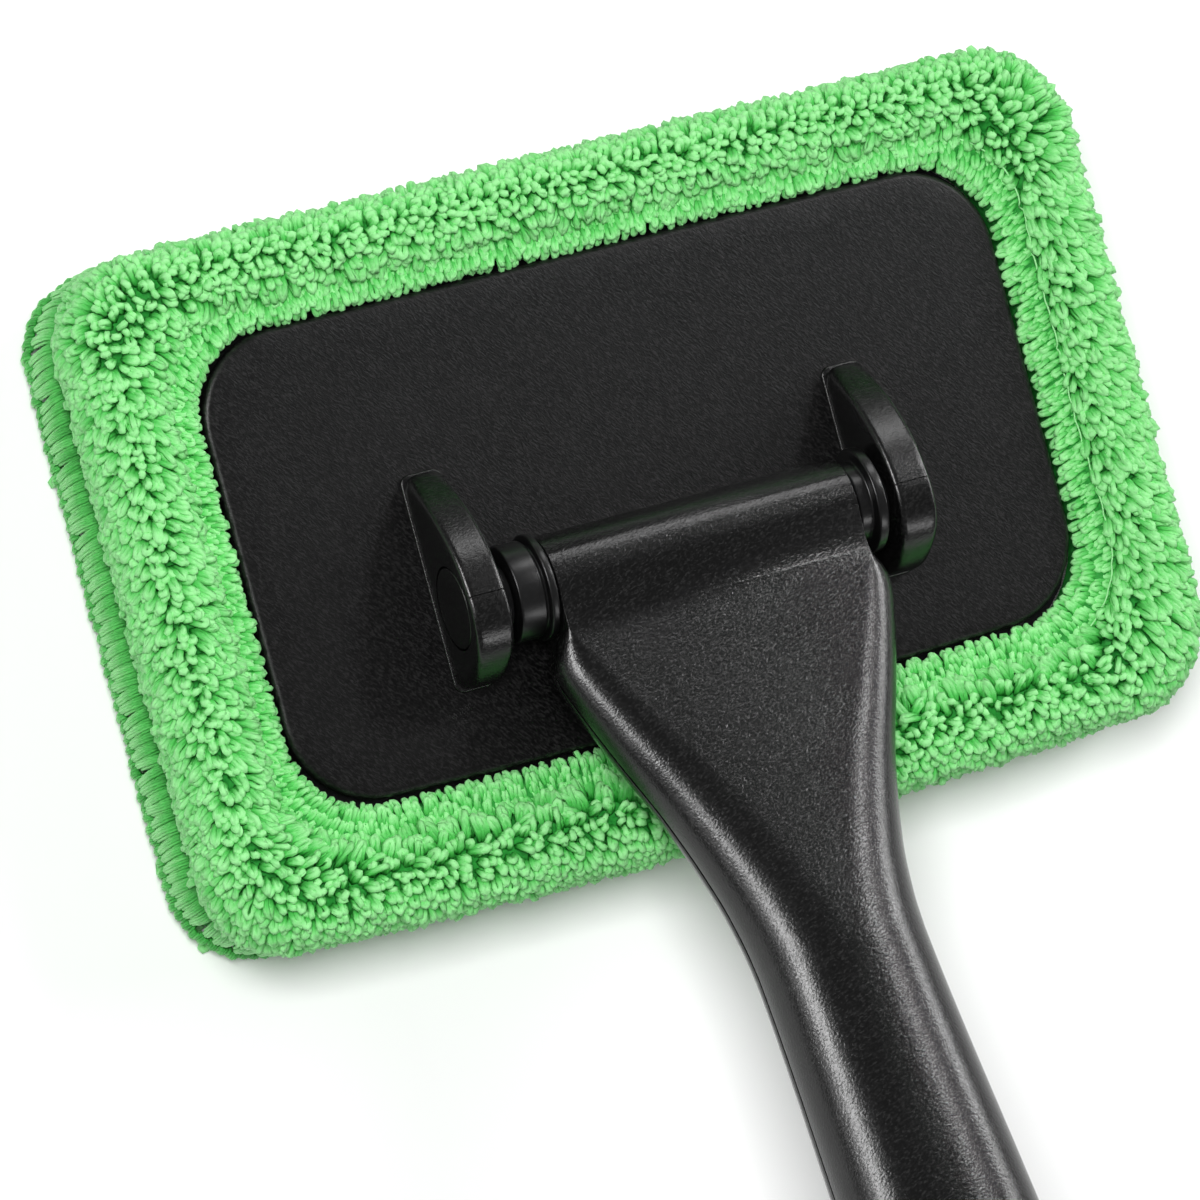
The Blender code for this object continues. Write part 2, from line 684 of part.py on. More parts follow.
def blend(first, second, share):
    """A value between two others."""
    return first + (second - first) * share


def fan_taper(share):
    """The share of the shoulder's extra width that is left on the way to the neck."""
    for (start, high), (end, low) in zip(FAN_TAPER, FAN_TAPER[1:]):
        if share <= end:
            return blend(high, low, (share - start) / (end - start))
    return 0.0


def fan_middle(distance):
    """The fan springs from the barrel's own middle and runs over to the hinge's middle."""
    share = max(0.0, (distance - SHOULDER_AT) / (NECK_AT - SHOULDER_AT))
    return fan_taper(share) * (BARREL_RIGHT - BARREL_LEFT) / 2


def handle_section(distance):
    """Half width, top, bottom, squareness and dish of the handle at a distance from the axis."""
    if distance < NECK_AT:
        share = max(0.0, (distance - SHOULDER_AT) / (NECK_AT - SHOULDER_AT))
        draw_in = FRONT_DRAW_IN * max(0.0, SHOULDER_AT - distance)
        rise = share ** 0.8
        return (blend(NECK_HALF, SHOULDER_HALF, fan_taper(share)) - draw_in,
                blend(SHOULDER_TOP, NECK_TOP, rise) - draw_in / 2,
                blend(SHOULDER_BOTTOM, NECK_BOTTOM, rise) - draw_in / 2,
                blend(FAN_SQUARENESS, GRIP_SQUARENESS, share),
                FAN_DISH * min(1.0, 4 * share) * (1.0 - ease(1.6 * share - 0.6)))
    if distance < GRIP_AT:
        share = ease((distance - NECK_AT) / (GRIP_AT - NECK_AT))
        return (blend(NECK_HALF, GRIP_HALF, share), blend(NECK_TOP, GRIP_TOP, share),
                blend(NECK_BOTTOM, GRIP_BOTTOM, share), GRIP_SQUARENESS, 0.0)
    share = ease((distance - GRIP_AT) / (CAP_AT - GRIP_AT))
    along_cap = max(0.0, (distance - CAP_AT) / CAP_LENGTH)
    plan = math.sqrt(1.0 - along_cap ** 4)
    side = math.sqrt(1.0 - along_cap ** 6)
    return (blend(GRIP_HALF, BUTT_HALF, share) * plan, blend(GRIP_TOP, BUTT_TOP, share) * side,
            blend(GRIP_BOTTOM, BUTT_BOTTOM, share) * side, GRIP_SQUARENESS, 0.0)


def section_loop(distance, inset=0.0):
    """The handle's closed section at a distance from the axis, drawn in by an inset."""
    half, top, bottom, squareness, dish = handle_section(distance)
    half, top, bottom = half - inset, top - inset, bottom - inset
    middle = fan_middle(distance)
    power = 2.0 / squareness
    loop = []
    for step in range(SECTION_STEPS):
        angle = 2 * math.pi * (step + 0.5) / SECTION_STEPS
        across = math.copysign(abs(math.cos(angle)) ** power, math.cos(angle))
        up = math.copysign(abs(math.sin(angle)) ** power, math.sin(angle))
        height = up * (top if up > 0.0 else bottom)
        if up > 0.0:
            height -= dish * max(0.0, 1.0 - (across / 0.85) ** 2)
        loop.append((middle + half * across, -distance, height))
    return loop


def places_between(start, end, count):
    """Evenly spaced places, both ends included."""
    return [blend(start, end, step / count) for step in range(count + 1)]


def handle_places(start, end):
    """Places for the handle's sections between two distances."""
    marks = [FAN_FRONT, (FAN_FRONT + SHOULDER_AT) / 2]
    marks += places_between(SHOULDER_AT, NECK_AT, 9)
    marks += places_between(NECK_AT, GRIP_AT, 4)[1:]
    marks += places_between(GRIP_AT, CAP_AT, 6)[1:]
    inside = [mark for mark in marks if start + LEAST_STEP < mark < end - LEAST_STEP]
    return [start] + inside + [end]


def handle_body_mesh(name, start, end, inset=0.0):
    """The handle's form between two distances, drawn in by an inset."""
    return loft(name, [section_loop(place, inset) for place in handle_places(start, end)])


def handle_cutters():
    """Shapes that both shells share: barrel and web to join; hollow and bores to cut."""
    barrel = cylinder("barrel", BARREL_RADIUS, -BARREL_LEFT, BARREL_RIGHT, steps=ROUND_STEPS)
    join = [handle_turned(add_object("barrel", barrel, cutter=True))]
    bevel(join[0], BARREL_EDGE)
    web = box("barrel_web", (-BARREL_LEFT + BARREL_EDGE, -(FAN_FRONT + GAP), -WEB_BOTTOM),
              (BARREL_RIGHT - BARREL_EDGE, 0.0, WEB_TOP))
    join.append(add_object("barrel_web", web, HANDLE_FRAME, cutter=True))
    hollow_start = SHOULDER_AT + HANDLE_WALL
    hollow = handle_body_mesh("handle_hollow", hollow_start, CAP_AT + CAP_LENGTH / 4, HANDLE_WALL)
    cut = [add_object("handle_hollow", hollow, HANDLE_FRAME, cutter=True)]
    bores = [(PIN_RADIUS + GAP, -BARREL_LEFT - GAP, BARREL_RIGHT + GAP),
             (BUSH_SPIGOT_RADIUS + GAP, -BARREL_LEFT - GAP,
              -BARREL_LEFT + BUSH_SPIGOT_LENGTH + GAP),
             (BUSH_SPIGOT_RADIUS + GAP, BARREL_RIGHT - BUSH_SPIGOT_LENGTH - GAP,
              BARREL_RIGHT + GAP)]
    for radius, low, high in bores:
        mesh = cylinder("barrel_bore", radius, low, high, steps=ROUND_STEPS)
        cut.append(handle_turned(add_object("barrel_bore", mesh, cutter=True)))
    return join, cut


def handle_screw_seat(place):
    """Height of a handle screw's seat, in the handle's frame."""
    return -(handle_section(place)[2] - HANDLE_SCREW[1] - 2 * GAP)


def handle_shell(name, side, join, cut, mat):
    """One half of the hollow handle, on one side of the parting plane."""
    shell = add_object(name, handle_body_mesh(name, FAN_FRONT, CAP_AT), HANDLE_FRAME, mat)
    for shape in join:
        boolean(shell, shape, "UNION")
    for shape in cut:
        boolean(shell, shape)
    head, height, shank = HANDLE_SCREW
    for place in HANDLE_SCREW_PLACES:
        _, top, bottom, _, dish = handle_section(place)
        roof = top - dish - HANDLE_WALL / 2
        floor = -(bottom - HANDLE_WALL / 2)
        seat = handle_screw_seat(place)
        boss = cylinder("handle_boss", shank + GAP + BOSS_WALL, floor, roof, 0.0, -place)
        boolean(shell, add_object("handle_boss", boss, HANDLE_FRAME, cutter=True), "UNION")
        tip = -PARTING_DROP + HANDLE_SCREW_BITE + GAP
        bore = cylinder("handle_screw_bore", shank + GAP, seat - height, tip, 0.0, -place)
        boolean(shell, add_object("handle_screw_bore", bore, HANDLE_FRAME, cutter=True))
        recess = cylinder("handle_screw_recess", head + GAP, -2 * bottom, seat + GAP, 0.0, -place)
        boolean(shell, add_object("handle_screw_recess", recess, HANDLE_FRAME, cutter=True))
    near = -PARTING_DROP + side * GAP / 2
    far = near - side * HEAD_WIDTH
    low, high = sorted((near, far))
    half_space = box("other_side", (-HEAD_LENGTH, -2 * HANDLE_LENGTH, low),
                     (HEAD_LENGTH, HANDLE_LENGTH, high))
    boolean(shell, add_object("other_side", half_space, HANDLE_FRAME, cutter=True))
    return shell


def handle_screws(mat):
    """Three screws from the handle's underside up into the top shell."""
    for number, place in enumerate(HANDLE_SCREW_PLACES, 1):
        seat = handle_screw_seat(place)
        name = f"handle_screw_{number}"
        mesh = screw_mesh(name, HANDLE_SCREW, -PARTING_DROP + HANDLE_SCREW_BITE - seat)
        screw = add_object(name, mesh, HANDLE_FRAME, mat)
        screw.location = (0.0, -place, seat)


def end_cap(mat):
    """The rounded butt, with a spigot in the shells and a slot to hang the tool by."""
    start = CAP_AT + GAP
    shares = (0.0, 0.22, 0.44, 0.62, 0.76, 0.86, 0.93, 0.97, 0.992)
    loops = [section_loop(blend(start, HANDLE_LENGTH, share)) for share in shares]
    cap = add_object("end_cap", loft("end_cap", loops), HANDLE_FRAME, mat)
    inset = HANDLE_WALL + GAP
    spigot = [section_loop(place, inset)
              for place in places_between(CAP_AT - SPIGOT_LENGTH, start + GAP, 3)]
    boolean(cap, add_object("cap_spigot", loft("cap_spigot", spigot), HANDLE_FRAME, cutter=True),
            "UNION")
    middle = HANDLE_LENGTH - SLOT_INSET
    half = SLOT_LENGTH / 2 - SLOT_WIDTH / 2
    steps = SMALL_STEPS // 2
    points = []
    for side, start_angle in ((1, -math.pi / 2), (-1, math.pi / 2)):
        for step in range(steps + 1):
            angle = start_angle + math.pi * step / steps
            points.append((side * half + SLOT_WIDTH / 2 * math.cos(angle),
                           -middle + SLOT_WIDTH / 2 * math.sin(angle)))
    slot = flat_outline("hang_slot", points, -2 * BUTT_BOTTOM, 2 * BUTT_TOP)
    boolean(cap, add_object("hang_slot", slot, HANDLE_FRAME, cutter=True))
    return cap


def build():
    """Make every piece of the tool."""
    green = material("green_microfibre", (0.16, 0.62, 0.18), 0.9)
    elastic = material("white_elastic", (0.75, 0.75, 0.72), 0.8)
    foam = material("grey_foam", (0.25, 0.25, 0.26), 0.95)
    plastic = material("black_plastic", (0.012, 0.012, 0.013), 0.45)
    panel_plastic = material("black_grained_plastic", (0.010, 0.010, 0.011), 0.55)
    carrier_plastic = material("dark_grey_plastic", (0.05, 0.05, 0.055), 0.5)
    bush_plastic = material("black_acetal", (0.009, 0.009, 0.010), 0.3)
    steel = material("zinc_plated_steel", (0.62, 0.62, 0.60), 0.35, 1.0)

    bonnet_face(green)
    bonnet_roll(green)
    bonnet_hem(green)
    hem_elastic(elastic)
    foam_pad(foam)
    carrier_plate(carrier_plastic)
    back_panel(panel_plastic)
    panel_screws(steel)

    hinge_ear("hinge_ear_left", -1, plastic)
    hinge_ear("hinge_ear_right", 1, plastic)
    ear_screws(steel)
    hinge_pin(steel)
    pin_clip(steel)
    pin_cap("pin_cap_left", -1, plastic)
    pin_cap("pin_cap_right", 1, plastic)
    friction_washer("friction_washer_left", -1, left_bush_end(), bush_plastic)
    friction_washer("friction_washer_right", 1, right_bush_end(), bush_plastic)

    join, cut = handle_cutters()
    handle_shell("handle_top_shell", 1, join, cut, plastic)
    handle_shell("handle_bottom_shell", -1, join, cut, plastic)
    barrel_bush_left(bush_plastic)
    barrel_bush_right(bush_plastic)
    handle_screws(steel)
    end_cap(plastic)


build()
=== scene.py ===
"""Looks of the windshield cleaning tool: microfibre pile, black plastic, camera and soft light.

Everything is in metres in the part's own frame: X along the hinge, -Y towards the handle, Z up.
"""
from math import copysign, cos, pi, radians, sin, sqrt

import bmesh
import bpy
import numpy as np
from mathutils import Matrix, Vector


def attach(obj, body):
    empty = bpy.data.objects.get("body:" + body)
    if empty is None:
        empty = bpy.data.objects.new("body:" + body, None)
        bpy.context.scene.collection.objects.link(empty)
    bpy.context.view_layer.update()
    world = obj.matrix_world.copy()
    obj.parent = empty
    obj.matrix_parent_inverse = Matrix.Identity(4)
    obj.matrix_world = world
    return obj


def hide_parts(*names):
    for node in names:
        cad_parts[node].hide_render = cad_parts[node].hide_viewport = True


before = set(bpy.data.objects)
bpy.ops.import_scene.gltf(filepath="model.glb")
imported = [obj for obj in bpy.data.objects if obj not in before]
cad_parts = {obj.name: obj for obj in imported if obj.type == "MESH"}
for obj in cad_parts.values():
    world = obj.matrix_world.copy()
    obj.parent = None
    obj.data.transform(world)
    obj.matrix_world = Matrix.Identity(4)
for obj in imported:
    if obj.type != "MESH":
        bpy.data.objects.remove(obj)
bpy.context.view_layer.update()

MM = 0.001
GAP = 0.0003
CUTTER_OVER = 0.002

# Bonnet; reach is a share of the way from the hem's inner edge to the bonnet's outer edge
HEAD_LENGTH = 0.200
HEAD_WIDTH = 0.127
HEAD_CORNER = 0.015
HEAD_BOW = 0.0030
HEM_CLEARANCE = 0.0016
TIER_TOP = 0.0180
HEM_BASE = 0.0246
HEM_CREST = 0.0343
CARRIER_TOP = 0.0213
POCKET_FLOOR = 0.0060
POCKET_REACH = 0.55
HEM_REACH = 0.28
REACH_WIDTH = 0.0193

# Back panel
PLATE_SHIFT = 0.0017
PANEL_LENGTH = 0.1572
PANEL_WIDTH = 0.0862
PANEL_CORNER = 0.0165
PANEL_BOW = 0.0015
PANEL_THICK = 0.0035
PANEL_TOP = 0.0320
PANEL_EDGE = 0.0014
PANEL_RIM = 0.006

# Hinge ears and their caps
AXIS_Y = PLATE_SHIFT - 0.0140
AXIS_Z = PANEL_TOP + 0.0102
EAR_INNER = 0.0384
EAR_THICK = 0.0073
EAR_HEIGHT = 0.0195
EAR_AHEAD = 0.0250
EAR_BEHIND = 0.0146
EAR_EDGE = 0.0010
EAR_END_ROUND = 0.0022
EAR_SEAM_AT = 0.0012
EAR_SEAM_HALF = 0.00011
EAR_SEAM_DEPTH = 0.00014
EAR_STEPS = 10
EAR_DEPTHS = (0.0, 0.00005, 0.00015, 0.0003, 0.0005, 0.00075, 0.0010, 0.0014, 0.0022)
EAR_OUTLINE = [(-EAR_BEHIND + 0.0008, 0.0), (-EAR_BEHIND, 0.08 * EAR_HEIGHT),
               (-0.96 * EAR_BEHIND, 0.45 * EAR_HEIGHT), (-0.63 * EAR_BEHIND, 0.84 * EAR_HEIGHT),
               (-0.22 * EAR_BEHIND, EAR_HEIGHT), (0.14 * EAR_AHEAD, 0.975 * EAR_HEIGHT),
               (0.42 * EAR_AHEAD, 0.83 * EAR_HEIGHT), (0.70 * EAR_AHEAD, 0.56 * EAR_HEIGHT),
               (0.96 * EAR_AHEAD, 0.20 * EAR_HEIGHT), (EAR_AHEAD, 0.10 * EAR_HEIGHT),
               (EAR_AHEAD - 0.0006, 0.0)]
EAR_FOOT_HEIGHT = 0.0004
EAR_FOOT_LIFT = 0.00002
EAR_FOOT_REACH = 0.0004
EAR_FOOT_CORNER = 0.0018
EAR_FOOT_SECTION = ((0.0, 0.0), (0.0, 0.6), (0.00012, 0.88), (0.0003, 1.0), (0.0012, 1.0))
EAR_OUTER = EAR_INNER + EAR_THICK
CAP_RADIUS = 0.0075
CAP_THICK = 0.0020
CAP_EDGE = 0.0003
PIN_RADIUS = 0.0030
SHARP = 0.00001

# Barrel and bushes
BARREL_RADIUS = 0.0088
BARREL_LEFT = 0.0288
BARREL_RIGHT = 0.0314
BUSH_FLANGE_RADIUS = 0.0098
BUSH_EDGE = 0.00045
LEFT_RING_RADIUS = 0.0090
LEFT_RING_LENGTH = 0.0056
LEFT_FLANGE_THICK = 0.0015
LEFT_STEP_DEPTH = 0.0008
LEFT_STEP_LENGTH = 0.0007
RIGHT_NECK_RADIUS = 0.0075
RIGHT_NECK_LENGTH = 0.0026
RIGHT_FLANGE_THICK = 0.0020

# Handle; distances run from the hinge's axis, and a section is its half width, top and bottom
HANDLE_RAISE = radians(16.0)
FAN_FRONT = 0.0104
SHOULDER_AT = 0.0135
SHOULDER_FULL = 0.0200
NECK_AT = 0.0800
GRIP_AT = 0.1500
HANDLE_LENGTH = 0.2900
CAP_AT = 0.2620
NECK = (0.0160, 0.0120, 0.0114)
GRIP = (0.0178, 0.0132, 0.0128)
BUTT = (0.0170, 0.0082, 0.0080)
SHOULDER_HALF = 0.0346
SHOULDER_BOTTOM = 0.0072
WEB_BOTTOM = 0.0062
WEB_START = 0.0070
WEB_REACH = 0.0080
WEB_FILLET = 0.0016
WEB_NEAR = 0.003
FAN_ROUND = 0.0062
BARREL_FLAT = 0.985
OVAL_POWER = 2.0 / 2.3
VALLEY_START = 0.0042
VALLEY_END = 0.0133
FLOOR_LEVEL = 0.0057
FLOOR_SLOPE = (NECK[1] - FLOOR_LEVEL) / (NECK_AT - VALLEY_END)
PARTING_DROP = 0.0010
PARTING_GROOVE = 0.00022
GROOVE_REACH = 0.0005
THIN_REACH = 0.0012
THIN_FLOOR = 0.00002
HALF_STEPS = 57
FIRST_STATION = -0.00875
SPIGOT_SHARE = 0.92
SPIGOT_GAP = 0.00004
CAP_STEPS = 30
SLOT_LENGTH = 0.0180
SLOT_WIDTH = 0.0130
SLOT_INSET = 0.0140
SLOT_RIM = 0.0016
SLOT_LEVEL = 0.96
SLOT_STEPS = 64
SCREW_PLACES = (0.0340, 0.1150, 0.2250)
SCREW_HEAD_RADIUS = 0.0028
SCREW_HEAD_HEIGHT = 0.0018
FAN_TAPER = np.array([(0.0, 1.0), (0.16, 0.83), (0.34, 0.60), (0.49, 0.385),
                      (0.64, 0.215), (0.79, 0.08), (0.92, 0.015), (1.0, 0.0)])
TAPER_NEAR = 0.05
TAPER_WEIGHTS = np.array([0.1, 0.25, 0.3, 0.25, 0.1])

# Loops of yarn: (height, share of the half width, sway) up one strand, round the end and down;
# then for each kind the half width and its play, thickness and its play, play of twist and turn
STRAND_END = 0.83
STRAND = [(height, 0.50 + 0.50 * min(1.0, height / 0.6))
          for height in (0.0, 0.34, 0.62, STRAND_END)]
LOOP_STEPS = [(height, -across, 1.0) for height, across in STRAND]
LOOP_STEPS += [(STRAND_END + (1.0 - STRAND_END) * sin(radians(angle)), cos(radians(angle)), 1.0)
               for angle in (140.0, 90.0, 40.0)]
LOOP_STEPS += [(height, across, 0.4) for height, across in reversed(STRAND)]
CRIMP = 0.17
LOOP_SWAY = 0.00025
ROLL_LOOP = (0.00047, 0.00010, 0.00060, 0.00005, 0.7, 0.4)
HEM_LOOP = (0.00042, 0.00008, 0.00050, 0.00005, 0.6, 0.35)
UNDER_LOOP = (0.00075, 0.00015, 0.00070, 0.00005, 0.7, 0.5)

# Pile of the roll: (reach, height) from the hem over the crest, and the rows of each piece
ROLL_SECTION = [(0.235, 0.0345), (0.30, 0.0360), (0.38, 0.0371), (0.48, 0.0379), (0.59, 0.0383),
                (0.70, 0.0381), (0.81, 0.0370), (0.90, 0.0347), (0.955, 0.0315), (0.98, 0.0280),
                (0.975, 0.0248)]
ROLL_GROUPS = (("pile_roll_inner", 0, 3), ("pile_roll_crest", 3, 6), ("pile_roll_shoulder", 6, 9),
               ("pile_roll_side", 9, 12), ("pile_roll_outer", 12, 14))
ROLL_ROWS = 14
ROLL_PITCH = 0.0020
ROLL_DEPTH = 0.0030
ROLL_INSET = 0.0026
ROLL_PLAY = (0.00035, 0.00030)
ROLL_LENGTHS = (0.0024, 0.0052)
CREST_SHARE = 0.40
FILLER_PITCH = 0.0031
FILLER_SINK = 0.0006

# Pile of the lower tier: bundles of fine strands, in two rows given by their start and end
TIER_SECTION = [(0.88, 0.0180), (0.95, 0.0165), (0.985, 0.0138), (1.0, 0.0105), (0.998, 0.0072),
                (0.985, 0.0042), (0.955, 0.0018), (0.90, 0.0004)]
TIER_POINTS = 101
TIER_ROWS = ((0.02, 0.72), (0.62, 0.98))
BUNDLE_PITCH = 0.0021
BUNDLE_STRANDS = 5
BUNDLE_ARCH = 0.00060
BUNDLE_PROUD = (-0.0002, 0.0003)
STRAND_RINGS = 12
STRAND_RADIUS = 0.00034
STRAND_LOWEST = 0.0004
STRAND_WOBBLE = 0.00010
STRAND_RISE = 0.0009
STRAND_SUNK = 0.0012
STRAND_TIP_SUNK = 0.0010
TIER_RUN = 0.020

# Pile of the hem: reach and drop of the root, length, rise of the bend, fall of the tip
HEM_ROWS = ((0.300, -0.0021, 0.0033, 0.80, 0.20), (0.225, -0.0020, 0.0032, 0.75, 0.14),
            (0.150, -0.0020, 0.0032, 0.72, 0.06), (0.085, -0.0023, 0.0029, 0.85, -0.40))
HEM_PITCH = 0.0018
HEM_PLAY = 0.00025
STITCH_REACH = 0.228
STITCH_STEP = 0.0008
STITCH_LENGTH = 0.0046
STITCH_WANDER = ((0.00025, 0.013), (0.0002, 0.0047))
STITCH_LEVEL = 0.00005
STITCH_DIP = 0.0011
STITCH_SUNK = 0.0018
THREAD_RADIUS = 0.00016

# Pile of the wiping face
UNDER_PITCH = 0.0037
UNDER_INSET = 0.0020
UNDER_PLAY = 0.0008
UNDER_ROOT = 0.0034
UNDER_LENGTH = (0.0036, 0.0004)

# Photograph's camera
CAMERA_TILT = radians(19.7)
CAMERA_ROLL = radians(15.0)
PIXELS_PER_METRE = 5500.0
PHOTO_SIDE = 1200.0
PANEL_CENTRE_PIXEL = (647.0, 478.0)
CAMERA_LENS = 200.0
SENSOR = 36.0
CLIP_RANGE = (0.05, 20.0)

# Light: directions from the tool, distances, sizes, and brightness where plain white is 1
LIGHT_AIM = Vector((0.0, -0.03, 0.03))
ROOM_LEVEL = 0.17
CEILING = ((-0.31, 0.14, 0.94), 1.4, (0.44, 0.44), 23.5)
FILL = ((0.80, 0.25, 0.54), 1.5, (1.2, 1.2), 2.0)
STRIP_DISTANCE = 1.05
STRIPS = (("strip_over", (0.583, 0.410, 0.701), (0.15, 0.18), 20.0),
          ("strip_back", (0.390, 0.815, 0.440), (0.40, 0.22), 4.4),
          ("strip_left", (-0.73, 0.35, 0.58), (0.26, 0.52), 14.0),
          ("strip_right", (0.86, 0.37, 0.355), (0.14, 0.30), 17.0),
          ("strip_edge", (0.94, 0.02, 0.35), (0.10, 0.40), 12.0),
          ("strip_front", (0.337, -0.815, 0.471), (0.34, 0.16), 5.0),
          ("strip_low", (-0.93, 0.12, 0.34), (0.10, 0.50), 3.5))
FLOOR_SIZE = 8.0
FLOOR_WHITE = 0.95
FLOOR_GLOW_SHARE = 0.05
FLOOR_GLOW = 0.8

# Grained plastics: name, dark grey or colour, light grey or colour of the specks (on handle and
# ears partly painted glints), least and most roughness, grain, depth
GRAINED = {
    "handle": ("handle_plastic_grain_painted_glints", 0.0012, 0.0150, 0.21, 0.24, 2750.0, 0.000065),
    "ear": ("ear_plastic_grain_painted_glints", 0.0012, 0.0135, 0.23, 0.28, 2750.0, 0.00004),
    "bush": ("bush_plastic_smooth", (0.0035, 0.0035, 0.0037), (0.006, 0.006, 0.0063),
             0.26, 0.34, 2600.0, 0.00001),
    "carrier": ("carrier_plastic_grain", (0.016, 0.016, 0.017), (0.030, 0.030, 0.031),
                0.45, 0.55, 2400.0, 0.00005)}
# Yarns: name, colours at root (darkest, for painted shade deep in the pile), middle and tip, depth
# of the fibres
YARNS = {
    "yarn": ("green_yarn", (0.005, 0.19, 0.012), (0.085, 0.52, 0.095), (0.31, 0.79, 0.30), 0.00020),
    "hem_yarn": ("green_hem_yarn", (0.007, 0.22, 0.015), (0.095, 0.55, 0.105), (0.32, 0.81, 0.31),
                 0.00020),
    "thread": ("pale_thread", (0.05, 0.42, 0.06), (0.18, 0.64, 0.19), (0.38, 0.84, 0.37), 0.00005)}
# Solids that keep their own meshes: a word of their names, and their material
CAD_LOOKS = (("screw", "steel"), ("hinge_pin", "steel"), ("pin_clip", "steel"),
             ("friction_washer", "bush"), ("carrier_plate", "carrier"), ("hem_elastic", "elastic"),
             ("foam_pad", "foam"))

SCENE = bpy.context.scene
UP = np.array([0.0, 0.0, 1.0])
MINUS_Y = np.array([0.0, -1.0, 0.0])
AXIS_MATRIX = Matrix.Translation((0.0, AXIS_Y, AXIS_Z))
ALONG_X = Matrix.Rotation(pi / 2, 4, "Y")
HANDLE_MATRIX = AXIS_MATRIX @ Matrix.Rotation(-HANDLE_RAISE, 4, "X")


# Camera, light and floor

def placed(name, data, axes, origin):
    """A camera or lamp at an origin, turned to its own three axes."""
    obj = bpy.data.objects.new(name, data)
    matrix = Matrix(axes).transposed().to_4x4()
    matrix.translation = origin
    obj.matrix_world = matrix
    SCENE.collection.objects.link(obj)
    return obj


def make_camera():
    """A long lens that looks down on the tool as the photograph does."""
    across = Vector((cos(CAMERA_TILT), 0.0, sin(CAMERA_TILT)))
    away = Vector((0.0, 1.0, 0.0))
    right = cos(CAMERA_ROLL) * across - sin(CAMERA_ROLL) * away
    up = sin(CAMERA_ROLL) * across + cos(CAMERA_ROLL) * away
    back = right.cross(up)
    shift_x = (PHOTO_SIDE / 2 - PANEL_CENTRE_PIXEL[0]) / PIXELS_PER_METRE
    shift_y = (PANEL_CENTRE_PIXEL[1] - PHOTO_SIDE / 2) / PIXELS_PER_METRE
    target = Vector((0.0, PLATE_SHIFT, PANEL_TOP)) + right * shift_x + up * shift_y
    distance = CAMERA_LENS * (PHOTO_SIDE / PIXELS_PER_METRE) / SENSOR
    data = bpy.data.cameras.new("camera")
    data.lens = CAMERA_LENS
    data.sensor_width = SENSOR
    data.clip_start, data.clip_end = CLIP_RANGE
    SCENE.camera = placed("camera", data, (right, up, back), target + back * distance)


def softbox(name, direction, distance, size, brightness):
    """A rectangular softbox that faces the tool; its first size runs across the handle."""
    toward = Vector(direction).normalized()
    across = Vector((toward.z, 0.0, -toward.x)).normalized()
    data = bpy.data.lights.new(name, "AREA")
    data.shape = "RECTANGLE"
    data.size, data.size_y = size
    data.energy = brightness * 4.0 * size[0] * size[1]
    axes = (across, toward.cross(across), toward)
    return placed(name, data, axes, LIGHT_AIM + toward * distance)


def make_light():
    """Even studio light: a pale grey room, a broad ceiling, and strips that the handle reflects."""
    world = bpy.data.worlds.new("studio")
    world.use_nodes = True
    SCENE.world = world
    background = world.node_tree.nodes["Background"]
    background.inputs["Color"].default_value = (1.0, 1.0, 1.0, 1.0)
    background.inputs["Strength"].default_value = ROOM_LEVEL
    for name, values in (("ceiling", CEILING), ("fill", FILL)):
        softbox(name, *values).visible_glossy = False
    for name, direction, size, brightness in STRIPS:
        softbox(name, direction, STRIP_DISTANCE, size, brightness).visible_diffuse = False
    SCENE.view_settings.view_transform = "Standard"


def make_floor():
    """A white floor that keeps the tool's soft shadow."""
    bpy.ops.mesh.primitive_plane_add(size=FLOOR_SIZE, location=(0.0, 0.0, 0.0))
    floor = bpy.context.active_object
    floor.name = "floor"
    mat = bpy.data.materials.new("white_floor")
    mat.use_nodes = True
    tree = mat.node_tree
    tree.nodes.clear()
    white = add_node(tree, "BsdfDiffuse", Color=(FLOOR_WHITE, FLOOR_WHITE, FLOOR_WHITE, 1.0))
    glow = add_node(tree, "Emission", Color=(1.0, 1.0, 1.0, 1.0), Strength=FLOOR_GLOW)
    rays = add_node(tree, "LightPath").outputs
    seen = rays["Is Camera Ray"]
    for kind in ("Is Glossy Ray", "Is Transmission Ray"):
        seen = math_node(tree, "MAXIMUM", seen, rays[kind])
    share = math_node(tree, "MULTIPLY", seen, FLOOR_GLOW_SHARE)
    mix = add_node(tree, "MixShader", share, white.outputs[0], glow.outputs[0])
    add_node(tree, "OutputMaterial", mix.outputs[0])
    floor.data.materials.append(mat)


# Materials

def add_node(tree, kind, *sources, **values):
    """A node: sources or numbers for its first inputs, and other values by their names."""
    node = tree.nodes.new("ShaderNode" + kind)
    for socket, source in zip(node.inputs, sources):
        if isinstance(source, (int, float)):
            socket.default_value = source
        else:
            tree.links.new(source, socket)
    for key, value in values.items():
        if key in node.inputs:
            node.inputs[key].default_value = value
        else:
            setattr(node, key, value)
    return node


def new_material(name, **values):
    """A Principled material and its tree; values name the shader's inputs, with _ for a space."""
    mat = bpy.data.materials.new(name)
    mat.use_nodes = True
    for key, value in values.items():
        mat.node_tree.nodes["Principled BSDF"].inputs[key.replace("_", " ")].default_value = value
    return mat, mat.node_tree


def dress(mat, colour, normal, rough=None):
    """The material with its sources linked to its shader."""
    tree = mat.node_tree
    inputs = tree.nodes["Principled BSDF"].inputs
    for key, source in (("Base Color", colour), ("Normal", normal), ("Roughness", rough)):
        if source:
            tree.links.new(source, inputs[key])
    return mat


